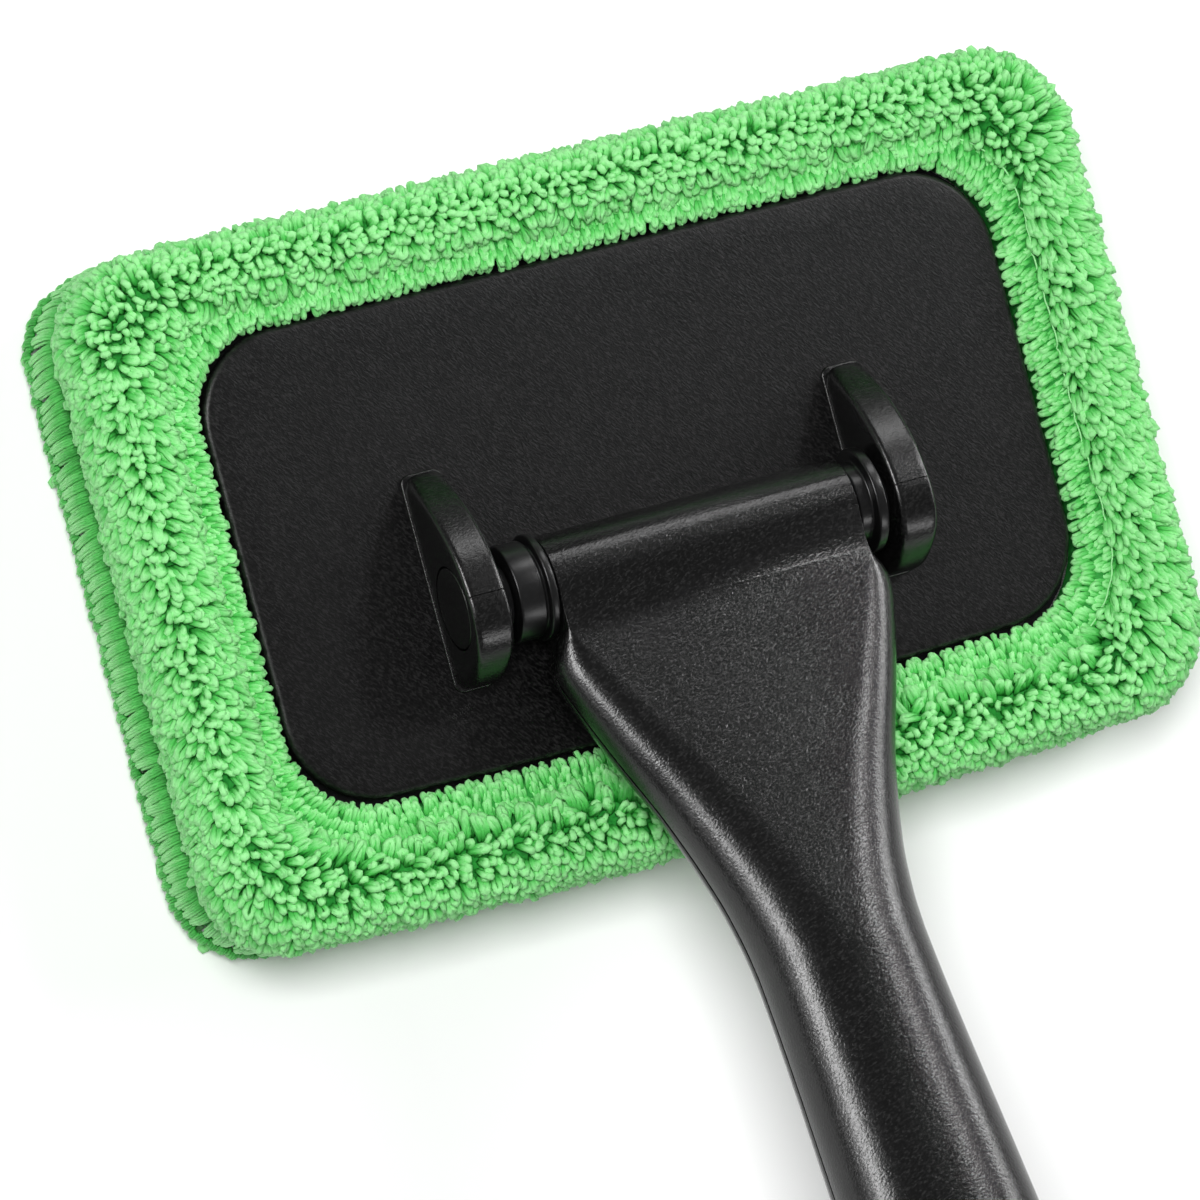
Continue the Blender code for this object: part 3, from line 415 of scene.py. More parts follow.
def ramp(tree, source, *stops):
    """A colour ramp on a value: stops are (position, grey or colour)."""
    node = add_node(tree, "ValToRGB", source)
    elements = node.color_ramp.elements
    while len(elements) < len(stops):
        elements.new(0.5)
    for element, (position, colour) in zip(elements, stops):
        element.position = position
        element.color = (*np.broadcast_to(colour, 3).tolist(), 1.0)
    return node.outputs["Color"]


def mapped(tree, stretch=1.0, turn=0.0):
    """Object coordinates for a pattern that is turned about Z, and stretched along its own X."""
    coords = add_node(tree, "TexCoord").outputs["Object"]
    return add_node(tree, "Mapping", coords, vector_type="TEXTURE", Scale=(stretch, 1.0, 1.0),
                    Rotation=(0.0, 0.0, radians(turn))).outputs["Vector"]


def noise(tree, vector, scale, detail, roughness, distortion=0.0):
    """A noise value from 0 to 1."""
    return add_node(tree, "TexNoise", vector, Scale=scale, Detail=detail, Roughness=roughness,
                    Distortion=distortion).outputs["Fac"]


def math_node(tree, operation, *sources):
    """A Math node on sources or numbers."""
    return add_node(tree, "Math", *sources, operation=operation).outputs[0]


def bump(tree, height, distance, strength=1.0, under=None):
    """A bump normal from a height, over another normal if given."""
    node = add_node(tree, "Bump", Strength=strength, Distance=distance)
    tree.links.new(height, node.inputs["Height"])
    if under:
        tree.links.new(under, node.inputs["Normal"])
    return node.outputs["Normal"]


def leather_plastic():
    """Panel plastic: short wavy strokes that run aslant, over a faint mottle."""
    mat, tree = new_material("leather_grained_plastic", Specular_IOR_Level=0.35)
    strokes = noise(tree, mapped(tree, 2.6, -50.0), 2900.0, 1.5, 0.5, 0.7)
    mottle = noise(tree, mapped(tree), 420.0, 3.0, 0.6)
    colour = ramp(tree, strokes, (0.38, (0.0010, 0.0010, 0.0011)), (0.52, (0.0042, 0.0041, 0.0042)),
                  (0.66, (0.0134, 0.0131, 0.0132)))
    normal = bump(tree, strokes, 0.00006, 1.0, bump(tree, mottle, 0.00005, 0.5))
    return dress(mat, colour, normal, ramp(tree, mottle, (0.3, 0.37), (0.7, 0.44)))


def grained_plastic(name, dark, speck_and_glint_colour, low_rough, high_rough, grain, depth):
    """Spark-eroded plastic: short strokes with brighter points, partly grain and partly painted
    glints, and a slow change in gloss.
    """
    mat, tree = new_material(name)
    fine = noise(tree, mapped(tree, 2.0, 20.0), grain, 1.5, 0.5, 0.7)
    slow = noise(tree, mapped(tree), 55.0, 2.0, 0.5)
    middle = 0.8 * np.array(dark) + 0.17 * np.array(speck_and_glint_colour)
    return dress(mat, ramp(tree, fine, (0.39, dark), (0.53, middle), (0.67, speck_and_glint_colour)),
                 bump(tree, fine, depth), ramp(tree, slow, (0.3, low_rough), (0.7, high_rough)))


def yarn_material(name, root, middle, tip, fibre_depth):
    """Microfibre yarn: painted shade darkens it towards its root, deep in the pile, with fine
    fibres along each strand.
    """
    mat, tree = new_material(name, Roughness=0.58, Specular_IOR_Level=0.30)
    painted_shade, tone_and_painted_lift, fibre = [add_node(tree, "Attribute", attribute_name=key).outputs
                          for key in ("painted_shade", "tone_and_painted_lift", "fibre")]
    lines = noise(tree, fibre["Vector"], 1.0, 2.0, 0.6)
    fluff = noise(tree, mapped(tree), 1500.0, 3.0, 0.7)
    # The painted shade level (dark at the roots), with fibre lines, tone and fluff, picks the
    # colour from root to tip
    level = painted_shade["Fac"]
    for source in (math_node(tree, "MULTIPLY_ADD", lines, 0.55, -0.275), tone_and_painted_lift["Fac"],
                   math_node(tree, "MULTIPLY_ADD", fluff, 0.30, -0.15)):
        level = math_node(tree, "ADD", level, source)
    normal = bump(tree, fluff, 0.00010, 0.5, bump(tree, lines, fibre_depth, 0.9))
    return dress(mat, ramp(tree, level, (0.05, root), (0.50, middle), (0.95, tip)), normal)


def painted_shade_backing_material():
    """Knitted ground of the pile, mostly hidden in its depth; the ground is real, its dark green is
    painted shade for the depth between the loops.
    """
    mat, tree = new_material("green_painted_shade_backing", Roughness=0.95)
    knit = noise(tree, mapped(tree), 900.0, 3.0, 0.6)
    return dress(mat, ramp(tree, knit, (0.3, (0.012, 0.17, 0.022)), (0.7, (0.035, 0.34, 0.05))),
                 bump(tree, knit, 0.0004, 0.8))


def elastic_material():
    """Woven elastic: threads from two crossed waves with some unevenness."""
    mat, tree = new_material("white_elastic", Roughness=0.85)
    weave = math_node(tree, "MULTIPLY", *[
        add_node(tree, "TexWave", mapped(tree), Scale=700.0, Distortion=1.5, Detail=2.0,
                 bands_direction=direction).outputs["Fac"] for direction in ("X", "Y")])
    return dress(mat, ramp(tree, weave, (0.1, (0.45, 0.45, 0.43)), (0.7, (0.80, 0.80, 0.77))),
                 bump(tree, weave, 0.0003, 0.8))


def foam_material():
    """Open-cell foam."""
    mat, tree = new_material("grey_foam", Roughness=0.95)
    cells = add_node(tree, "TexVoronoi", mapped(tree), Scale=1400.0).outputs["Distance"]
    return dress(mat, ramp(tree, cells, (0.1, 0.03), (0.6, 0.10)), bump(tree, cells, 0.0003))


def steel_material():
    """Zinc-plated steel with fine turning marks and a slight mottle."""
    mat, tree = new_material("zinc_plated_steel", Metallic=1.0)
    streaks = noise(tree, mapped(tree, 6.0), 4200.0, 2.0, 0.6)
    return dress(mat, ramp(tree, streaks, (0.3, (0.46, 0.46, 0.45)), (0.7, (0.66, 0.66, 0.64))),
                 bump(tree, streaks, 0.00003, 0.5), ramp(tree, streaks, (0.3, 0.28), (0.7, 0.42)))


def make_materials():
    """All the materials by short name."""
    mats = {"panel": leather_plastic(), "backing": painted_shade_backing_material(), "foam": foam_material(),
            "elastic": elastic_material(), "steel": steel_material()}
    mats.update((key, grained_plastic(*values)) for key, values in GRAINED.items())
    mats.update((key, yarn_material(*values)) for key, values in YARNS.items())
    return mats


# Meshes

def link_mesh(name, mesh, mat, body, slot, *replaces):
    """Link a finished mesh as a piece that rides on a body and may stand for CAD nodes."""
    obj = bpy.data.objects.new(name, mesh)
    SCENE.collection.objects.link(obj)
    mesh.materials.clear()
    mesh.materials.append(mat)
    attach(obj, body)
    if replaces:
        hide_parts(*replaces)
    return obj


def finish_mesh(mesh, smooth_angle=40.0):
    """Weld, turn all faces outward, and shade smooth where round."""
    bm = bmesh.new()
    bm.from_mesh(mesh)
    bmesh.ops.remove_doubles(bm, verts=bm.verts, dist=0.002 * MM)
    bmesh.ops.recalc_face_normals(bm, faces=bm.faces)
    bm.to_mesh(mesh)
    bm.free()
    mesh.shade_smooth()
    mesh.set_sharp_from_angle(angle=radians(smooth_angle))
    return mesh


def mesh_from_rings(name, rings, closed, smooth_angle):
    """Quads between equal rings of points; closed joins last to first, else both get a cap."""
    rings = np.asarray(rings, float)
    here = np.arange(rings.size // 3).reshape(rings.shape[:2])
    beside = np.roll(here, -1, axis=1)
    quads = np.stack([here, beside, np.roll(beside, -1, axis=0), np.roll(here, -1, axis=0)],
                     axis=-1)
    if closed:
        faces = quads.reshape(-1, 4).tolist()
    else:
        faces = quads[:-1].reshape(-1, 4).tolist() + [here[0].tolist(), here[-1].tolist()]
    mesh = bpy.data.meshes.new(name)
    mesh.from_pydata(rings.reshape(-1, 3).tolist(), [], faces)
    return finish_mesh(mesh, smooth_angle)


def transformed(mesh, matrix):
    """The mesh moved by a matrix."""
    mesh.transform(matrix)
    return mesh


def cut_mesh(mesh, cutters, name):
    """The mesh with each cutter mesh taken out of it."""
    helpers = [bpy.data.objects.new("helper", part) for part in (mesh, *cutters)]
    for helper in helpers:
        SCENE.collection.objects.link(helper)
    for tool in helpers[1:]:
        modifier = helpers[0].modifiers.new("cut", "BOOLEAN")
        modifier.object = tool
        modifier.operation = "DIFFERENCE"
    depsgraph = bpy.context.evaluated_depsgraph_get()
    result = bpy.data.meshes.new_from_object(helpers[0].evaluated_get(depsgraph))
    result.name = name
    for helper in helpers:
        bpy.data.objects.remove(helper, do_unlink=True)
    return finish_mesh(result)


def lathe(name, profile, steps=96):
    """A turned mesh about Z from a closed (radius, height) profile."""
    rings = []
    for step in range(steps):
        angle = 2 * pi * step / steps
        rings.append([(radius * cos(angle), radius * sin(angle), height)
                      for radius, height in profile])
    return mesh_from_rings(name, rings, True, 50.0)


def rounded(corners, radius, steps=4):
    """A closed (radius, height) profile with each corner rounded by a small arc."""
    points = []
    for index, corner in enumerate(corners):
        here = Vector(corner)
        before = Vector(corners[index - 1]) - here
        after = Vector(corners[(index + 1) % len(corners)]) - here
        reach = min(radius, before.length * 0.45, after.length * 0.45)
        start = here + before.normalized() * reach
        end = here + after.normalized() * reach
        for step in range(steps + 1):
            share = step / steps
            points.append(tuple(start.lerp(here, share).lerp(here.lerp(end, share), share)))
    return points


# Outlines

def rounded_rectangle(half_x, half_y, corner, centre_y, bow, corner_steps=14, side_steps=40):
    """Points counter-clockwise round a rounded rectangle whose -Y side bows out."""
    points = []
    for side_x, side_y, start in ((1, 1, 0), (-1, 1, 90), (-1, -1, 180), (1, -1, 270)):
        for step in range(corner_steps + 1):
            angle = radians(start + 90 * step / corner_steps)
            points.append((side_x * (half_x - corner) + corner * cos(angle),
                           side_y * (half_y - corner) + corner * sin(angle)))
        x, y = points[-1]
        for step in range(1, side_steps):
            if start in (0, 180):
                points.append((x - 2 * x * step / side_steps, y))
            else:
                points.append((x, y - 2 * y * step / side_steps))
    points = np.array(points)
    share = np.clip(-points[:, 1] / half_y, 0.0, None) * (1.0 - (points[:, 0] / half_x) ** 2)
    points[:, 1] += centre_y - bow * np.clip(share, 0.0, None)
    return points


INNER_OUTLINE = rounded_rectangle(PANEL_LENGTH / 2 + HEM_CLEARANCE,
                                  PANEL_WIDTH / 2 + HEM_CLEARANCE,
                                  PANEL_CORNER + HEM_CLEARANCE, PLATE_SHIFT, PANEL_BOW)
OUTER_OUTLINE = rounded_rectangle(HEAD_LENGTH / 2, HEAD_WIDTH / 2, HEAD_CORNER, 0.0, HEAD_BOW)


def bonnet_line(reach):
    """The bonnet's outline at a reach."""
    return INNER_OUTLINE + reach * (OUTER_OUTLINE - INNER_OUTLINE)


def at_height(line, height):
    """Plane points lifted to one height."""
    return np.column_stack([line, np.full(len(line), height)])


def sideways(directions):
    """Plane directions turned left by a quarter turn."""
    return np.column_stack([-directions[:, 1], directions[:, 0]])


def unit(vectors):
    """Vectors scaled to length one."""
    return vectors / np.maximum(np.linalg.norm(vectors, axis=-1, keepdims=True), 1e-12)


def distances(line):
    """Distances of a line's points from its start, along the line."""
    return np.concatenate([[0.0], np.cumsum(np.linalg.norm(np.diff(line, axis=0), axis=1))])


def line_at(places, along, line):
    """Plane points at places on a line, from the places of its own points."""
    return np.stack([np.interp(places, along, line[:, axis]) for axis in (0, 1)], axis=1)


def spread_along(line, pitch, offset):
    """Evenly spaced places along a closed line: points and outward unit normals in the plane."""
    closed = np.vstack([line, line[:1]])
    along = distances(closed)
    count = int(round(along[-1] / pitch))
    wanted = (np.arange(count) + offset) % count / count * along[-1]
    near = 0.0008
    tangent = unit(line_at((wanted + near) % along[-1], along, closed)
                   - line_at((wanted - near) % along[-1], along, closed))
    return line_at(wanted, along, closed), -sideways(tangent)


def smooth_line(points, steps):
    """Points on a smooth curve through the given ones, with equal steps between each pair."""
    points = np.array(points, float)
    padded = np.vstack([2 * points[0] - points[1], points, 2 * points[-1] - points[-2]])
    line = []
    for index in range(1, len(padded) - 2):
        a, b, c, d = padded[index - 1:index + 3]
        for share in np.linspace(0.0, 1.0, steps, endpoint=False):
            line.append(0.5 * (2 * b + (c - a) * share + (2 * a - 5 * b + 4 * c - d) * share ** 2
                               + (3 * b - a - 3 * c + d) * share ** 3))
    line.append(points[-1])
    return np.array(line)


def smooth_section(points, count):
    """A smooth (reach, height) line through points, evenly spaced, with its outward slope."""
    scale = np.array([REACH_WIDTH, 1.0])
    fine = smooth_line(points, 12)
    along = distances(fine * scale)
    section = line_at(np.linspace(0.0, along[-1], count), along, fine)
    return section, unit(np.gradient(section * scale, axis=0))


# Yarn

def around(rng, middle, play, count):
    """Random values about a middle."""
    return middle + play * rng.uniform(-1.0, 1.0, count)


def blank_tubes(count, rings):
    """Empty paths, guide directions, radii and painted shade levels for equal tubes."""
    path = np.zeros((count, rings, 3))
    radius = np.zeros((count, rings))
    return path, np.zeros_like(path), radius, np.zeros_like(radius)


class Yarn:
    """Gathers many tubes and makes them one mesh."""

    def __init__(self, name, sides):
        self.name = name
        self.sides = sides
        self.total = 0
        self.parts = []

    def add(self, path, guide, radius, painted_shade, tone_and_painted_lift, rng):
        """Tubes along path (tubes, rings, 3) with a guide direction at each ring."""
        tubes, rings, _ = path.shape
        sides = self.sides
        tangent = unit(np.gradient(path, axis=1))
        first = unit(guide - np.sum(guide * tangent, axis=2, keepdims=True) * tangent)
        second = np.cross(tangent, first)
        angle = 2 * pi * np.arange(sides)[:, None] / sides
        ring = first[:, :, None] * np.cos(angle) + second[:, :, None] * np.sin(angle)
        points = path[:, :, None] + ring * radius[:, :, None, None]
        step = np.linalg.norm(np.diff(path, axis=1), axis=2)
        along = np.concatenate([np.zeros((tubes, 1)), np.cumsum(step, axis=1)], axis=1)
        fibre = np.zeros_like(points)
        fibre[..., :2] = np.hstack([np.cos(angle), np.sin(angle)]) * 1.5
        fibre[..., 2] = (along / MM * 0.75 + rng.uniform(0.0, 400.0, (tubes, 1)))[:, :, None]
        index = np.arange(tubes * rings * sides).reshape(tubes, rings, sides) + self.total
        beside = np.roll(index, -1, axis=2)
        quads = np.stack([index[:, :-1], beside[:, :-1], beside[:, 1:], index[:, 1:]], axis=-1)
        corners = np.concatenate([quads.ravel(), index[:, 0, ::-1].ravel(), index[:, -1].ravel()])
        sizes = np.repeat([4, sides], [quads.size // 4, 2 * tubes])
        # Each point keeps its painted shade level, darker towards the loop's root
        self.parts.append((points.reshape(-1, 3), corners, sizes, np.repeat(painted_shade.ravel(), sides),
                           np.repeat(tone_and_painted_lift, rings * sides), fibre.reshape(-1, 3)))
        self.total += index.size

    def link(self, mat, slot, lowest=None):
        """The gathered tubes as one piece, with the attributes that the yarn's material reads."""
        points, corners, sizes, *layers = map(np.concatenate, zip(*self.parts))
        points = points.astype(np.float32)
        if lowest is not None:
            points[:, 2] = np.maximum(points[:, 2], lowest)
        mesh = bpy.data.meshes.new(self.name)
        starts = np.cumsum(sizes) - sizes
        for kind, key, values in ((mesh.vertices, "co", points),
                                  (mesh.loops, "vertex_index", corners),
                                  (mesh.polygons, "loop_start", starts)):
            kind.add(len(values))
            kind.foreach_set(key, values.ravel())
        mesh.update(calc_edges=True)
        mesh.validate()
        mesh.shade_smooth()
        # Painted shade, and tone with any painted lift, go to the yarn's material as attributes
        kinds = (("painted_shade", "FLOAT", "value"), ("tone_and_painted_lift", "FLOAT", "value"),
                 ("fibre", "FLOAT_VECTOR", "vector"))
        for (name, kind, key), values in zip(kinds, layers):
            layer = mesh.attributes.new(name, kind, "POINT")
            layer.data.foreach_set(key, values.astype(np.float32).ravel())
        link_mesh(self.name, mesh, mat, "head", slot)


def add_loops(yarn, root, normal, lean, length, form, painted_shade_low, rng):
    """Hairpin loops of crimped yarn that rise along the normal and bend to the lean."""
    count = len(root)
    half_width, width_play, thickness, thick_play, twist_play, turn_play = form
    spread = around(rng, half_width, width_play, count)
    thick = around(rng, thickness, thick_play, count)
    twist = rng.normal(0.0, twist_play, count)
    turn = rng.normal(0.0, turn_play, count)
    tip = root + unit(lean) * length[:, None]
    knee = root + normal * (0.50 * length)[:, None]
    side = unit(np.cross(unit(lean), normal) + 1e-6)
    path, guide, radius, painted_shade = blank_tubes(count, len(LOOP_STEPS))
    sway = rng.uniform(-1.0, 1.0, (count, 3)) * LOOP_SWAY
    phase = rng.uniform(0.0, 2 * pi, count)
    for ring, (height, across, give) in enumerate(LOOP_STEPS):
        centre = root * (1 - height) ** 2 + knee * 2 * height * (1 - height) + tip * height ** 2
        direction = unit(knee * (1 - height) - root * (1 - height) + (tip - knee) * height)
        flat = unit(side - np.sum(side * direction, axis=1, keepdims=True) * direction)
        angle = (turn + twist * height)[:, None]
        across_dir = flat * np.cos(angle) + np.cross(direction, flat) * np.sin(angle)
        guide[:, ring] = np.cross(direction, across_dir)
        crimp = 1.0 + rng.uniform(-CRIMP, CRIMP, count)
        path[:, ring] = centre + across_dir * (across * spread * crimp)[:, None]
        path[:, ring] += sway * height * give
        knots = 1.0 + 0.15 * np.sin(phase + ring * 2.6) + rng.uniform(-0.07, 0.07, count)
        radius[:, ring] = thick * (0.88 + 0.20 * height) * knots
        # Painted shade: darker down towards the root, where the loops shade each other
        painted_shade[:, ring] = painted_shade_low + (1.0 - painted_shade_low) * height ** 1.3
    yarn.add(path, guide, radius, painted_shade, rng.normal(0.0, 0.06, count), rng)


def pile_lean(share, plan_normal, normal, along, rng):
    """The way the roll's loops lie: they part along the crest, and fall towards the handle.

    On the right side all of them lie outward, and on the far side they stand more upright.
    """
    count = len(normal)
    rightward = np.clip(plan_normal[:, 0] * 1.6 - 0.4, 0.0, 1.0)
    farther = np.clip(plan_normal[:, 1] * 1.4, 0.0, 1.0)
    parting = CREST_SHARE - rightward * (CREST_SHARE + 0.10)
    room = np.where(share > parting, 1.0 - parting, np.maximum(parting, 0.2))
    away = (share - parting) / room
    strength = np.where(away > 0.0, 1.15, 1.15 - 0.75 * farther)
    pull = strength * np.sign(away) * np.minimum(1.0, np.abs(away) * 1.5)
    fall = around(rng, 0.70, 0.25, count)
    fall *= 1.0 - farther * np.where(away > 0.0, 1.0, 0.75)
    rise = 1.30 - 0.75 * np.minimum(1.0, np.abs(away) * 1.1)
    rise *= 1.0 - 0.35 * rightward
    lean = normal * rise[:, None] + along * pull[:, None] + MINUS_Y * fall[:, None]
    lean = unit(lean + rng.normal(0.0, 1.0, (count, 3)) * (0.20 - 0.06 * rightward)[:, None])
    lift = np.clip(0.45 - np.sum(lean * normal, axis=1), 0.0, 1.0)
    return unit(lean + normal * lift[:, None])


def roll_row(yarn, share, section_point, slope, pitch, offset, sink, rng):
    """One row of loops round the roll."""
    places, plan_normal = spread_along(bonnet_line(section_point[0]), pitch, offset)
    count = len(places)
    point = at_height(places, section_point[1])
    outward = at_height(plan_normal, 0.0)
    along = outward * slope[0] + UP * slope[1]
    normal = UP * slope[0] - outward * slope[1]
    point += np.cross(normal, along) * rng.normal(0.0, ROLL_PLAY[0], count)[:, None]
    point += along * rng.normal(0.0, ROLL_PLAY[1], count)[:, None]
    lean = pile_lean(share, plan_normal, normal, along, rng)
    facing = np.clip(np.sum(lean * normal, axis=1), 0.45, 1.0)
    length = (ROLL_DEPTH - sink) * around(rng, 1.05, 0.14, count) / facing
    length = np.clip(length, *ROLL_LENGTHS)
    add_loops(yarn, point - normal * ROLL_DEPTH, normal, lean, length, ROLL_LOOP, 0.05, rng)


def roll_pile(mats):
    """The fat upper roll: rows of loops, with shorter ones between them that fill the gaps."""
    rng = np.random.default_rng(41)
    steps = 2 * ROLL_ROWS - 1
    section, slope = smooth_section(ROLL_SECTION, steps)
    for name, first, last in ROLL_GROUPS:
        yarn = Yarn(name, 5)
        for step in range(2 * first, min(2 * last, steps)):
            share = step / (steps - 1)
            if step % 2 == 0:
                offset = 0.5 * (step // 2 % 2) + rng.uniform(0.0, 0.3)
                roll_row(yarn, share, section[step], slope[step], ROLL_PITCH, offset, 0.0, rng)
            else:
                roll_row(yarn, share, section[step], slope[step], FILLER_PITCH,
                         rng.uniform(0.0, 1.0), FILLER_SINK, rng)
        yarn.link(mats["yarn"], "microfibre")


def tier_pile(mats):
    """The lower tier: long bundles of fine slanting strands, over a shorter row at the floor."""
    rng = np.random.default_rng(42)
    section, slope = smooth_section(TIER_SECTION, TIER_POINTS)
    curves = (*section.T, *slope.T)
    ring = np.arange(STRAND_RINGS)
    share = ring / (STRAND_RINGS - 1)
    taper = np.where(share < 1.0, 1.0, 0.55)
    narrow = 1.0 - 0.50 * np.maximum(0.0, share - 0.80) / 0.20
    for number, (start, end) in enumerate(TIER_ROWS):
        yarn = Yarn(f"pile_tier_{number + 1}", 5)
        middle = section[int(start * (TIER_POINTS - 1))][0]
        places, plan_normal = spread_along(bonnet_line(middle), BUNDLE_PITCH, 0.5 * (number % 2))
        count = len(places)
        edge = sideways(plan_normal)
        slant = around(rng, 0.09 * -edge[:, 1], 0.06, count)
        reach_play = rng.uniform(-0.05, 0.05, count)
        proud = rng.uniform(*BUNDLE_PROUD, count)
        # Random tone per bundle, raised on the whole as painted light, because the tier's side lies
        # in shade
        bundle_tone_and_painted_lift = rng.normal(0.22, 0.05, count)
        for offset in np.linspace(-1.0, 1.0, BUNDLE_STRANDS):
            path, guide, radius, painted_shade = blank_tubes(count, STRAND_RINGS)
            wobble = rng.uniform(-1.0, 1.0, count) * STRAND_WOBBLE
            at = start + (end - start) * share * (1.0 - 0.10 * offset ** 2 + reach_play)[:, None]
            at = np.clip(at, 0.0, 1.0) * (TIER_POINTS - 1)
            reach, height, slope_out, slope_up = (np.interp(at, np.arange(TIER_POINTS), curve)
                                                  for curve in curves)
            lift = STRAND_RISE * np.sin(pi / 2 * np.minimum(1.0, share / 0.3)) + proud[:, None]
            lift += BUNDLE_ARCH * (1.0 - offset ** 2) - STRAND_SUNK
            lift -= STRAND_TIP_SUNK * np.maximum(0.0, share - 0.85) / 0.15
            across = offset * BUNDLE_PITCH * 0.44 * narrow
            across = across + slant[:, None] * share * (end - start) * TIER_RUN
            across += wobble[:, None] * (ring % 2)
            outward = (reach - middle) * REACH_WIDTH - lift * slope_up
            path[..., :2] = places[:, None] + plan_normal[:, None] * outward[..., None]
            path[..., :2] += edge[:, None] * across[..., None]
            path[..., 2] = np.maximum(height + lift * slope_out, STRAND_LOWEST)
            guide[..., :2] = edge[:, None]
            play = rng.uniform(-0.08, 0.08, (STRAND_RINGS, count)).T
            radius += STRAND_RADIUS * taper * (1.0 + play)
            # Painted shade: dark where the bundle starts under the roll, lighter out along it
            painted_shade += 0.02 + 0.78 * np.minimum(1.0, share * 1.6)
            yarn.add(path, guide, radius, painted_shade, bundle_tone_and_painted_lift + rng.normal(0.0, 0.04, count), rng)
        yarn.link(mats["yarn"], "microfibre")


def hem_pile(mats):
    """The hem: short crimped loops that lie towards the panel, the last ones over its edge."""
    rng = np.random.default_rng(43)
    yarn = Yarn("pile_hem", 6)
    for number, (reach, drop, length, rise, fall) in enumerate(HEM_ROWS):
        places, plan_normal = spread_along(bonnet_line(reach), HEM_PITCH, 0.5 * (number % 2))
        count = len(places)
        inward = at_height(-plan_normal, 0.0)
        edge = at_height(sideways(plan_normal), 0.0)
        slant = rng.normal(0.0, 0.10, count)
        slant -= 0.30 * np.abs(plan_normal[:, 0]) * np.sign(edge[:, 1])
        root = at_height(places, HEM_CREST + drop)
        root += edge * rng.uniform(-HEM_PLAY, HEM_PLAY, count)[:, None]
        normal = unit(inward * 0.8 + UP * rise)
        lean = unit(inward + UP * (fall + rng.normal(0.0, 0.06, count))[:, None]
                    + edge * slant[:, None])
        lengths = length * around(rng, 1.0, 0.10, count)
        add_loops(yarn, root, normal, lean, lengths, HEM_LOOP, 0.15, rng)
    yarn.link(mats["hem_yarn"], "hem_microfibre")


def stitching(mats):
    """The seam between hem and roll: one thread that dips under every few millimetres."""
    yarn = Yarn("hem_stitching", 6)
    places, plan_normal = spread_along(bonnet_line(STITCH_REACH), STITCH_STEP, 0.0)
    count = len(places)
    along = np.arange(count) * STITCH_STEP
    dip = np.abs(np.sin(pi * along / STITCH_LENGTH)) ** 0.35
    wander = sum(reach * np.sin(along / run) for reach, run in STITCH_WANDER)
    sunk = STITCH_SUNK * np.clip(0.9 - plan_normal[:, 0], 0.0, 1.0)
    path, guide, radius, painted_shade = blank_tubes(1, count + 1)
    path[0, :-1, :2] = places + plan_normal * wander[:, None]
    path[0, :-1, 2] = HEM_CREST - STITCH_LEVEL - STITCH_DIP * (1.0 - dip) - sunk
    path[0, -1] = path[0, 0]
    guide[..., 2] = 1.0
    rng = np.random.default_rng(44)
    # The thread is at full level, with no painted shade
    yarn.add(path, guide, radius + THREAD_RADIUS, painted_shade + 1.0, np.array([0.15]), rng)
    yarn.link(mats["thread"], "hem_microfibre")


def underside_pile(mats):
    """The wiping face: short loops pressed flat by the floor."""
    rng = np.random.default_rng(45)
    half = np.array([HEAD_LENGTH, HEAD_WIDTH]) / 2 - UNDER_INSET
    marks = [np.linspace(-reach, reach, int(2 * reach / UNDER_PITCH)) for reach in half]
    places = np.stack(np.meshgrid(*marks)).reshape(2, -1)
    places = (places + rng.uniform(-UNDER_PLAY, UNDER_PLAY, places.shape)).T
    corner = HEAD_CORNER - UNDER_INSET
    over = np.clip(np.abs(places) - (half - corner), 0.0, None)
    root = at_height(places[np.sum(over ** 2, axis=1) < corner ** 2], UNDER_ROOT)
    count = len(root)
    angle = rng.uniform(-0.7, 0.7, count) - pi / 2
    lean = at_height(np.column_stack([np.cos(angle), np.sin(angle)]), -0.80)
    length = around(rng, *UNDER_LENGTH, count)
    yarn = Yarn("pile_wiping_face", 5)
    add_loops(yarn, root, np.tile(-UP, (count, 1)), lean, length, UNDER_LOOP, 0.1, rng)
    yarn.link(mats["yarn"], "microfibre", 0.0)


def base_form(node, points, mat, slot):
    """A soft closed ring or tray under the pile, from (reach, height) points, for a CAD node."""
    name = node + "_base"
    waves = np.random.default_rng(len(name)).uniform(0.0, 2 * pi, 4)
    closed = points[0] == points[-1]
    rings = []
    for reach, height in points[:-1] if closed else points:
        line = bonnet_line(reach)
        turn = np.arctan2(line[:, 1], line[:, 0])
        swell = sum(np.sin(turn * (3 + 2 * n) + wave) for n, wave in enumerate(waves)) * 0.00008
        rings.append(at_height(line + unit(line) * swell[:, None], height))
    mesh = mesh_from_rings(name, rings, closed, 60.0)
    link_mesh(name, mesh, mat, "head", slot, node)


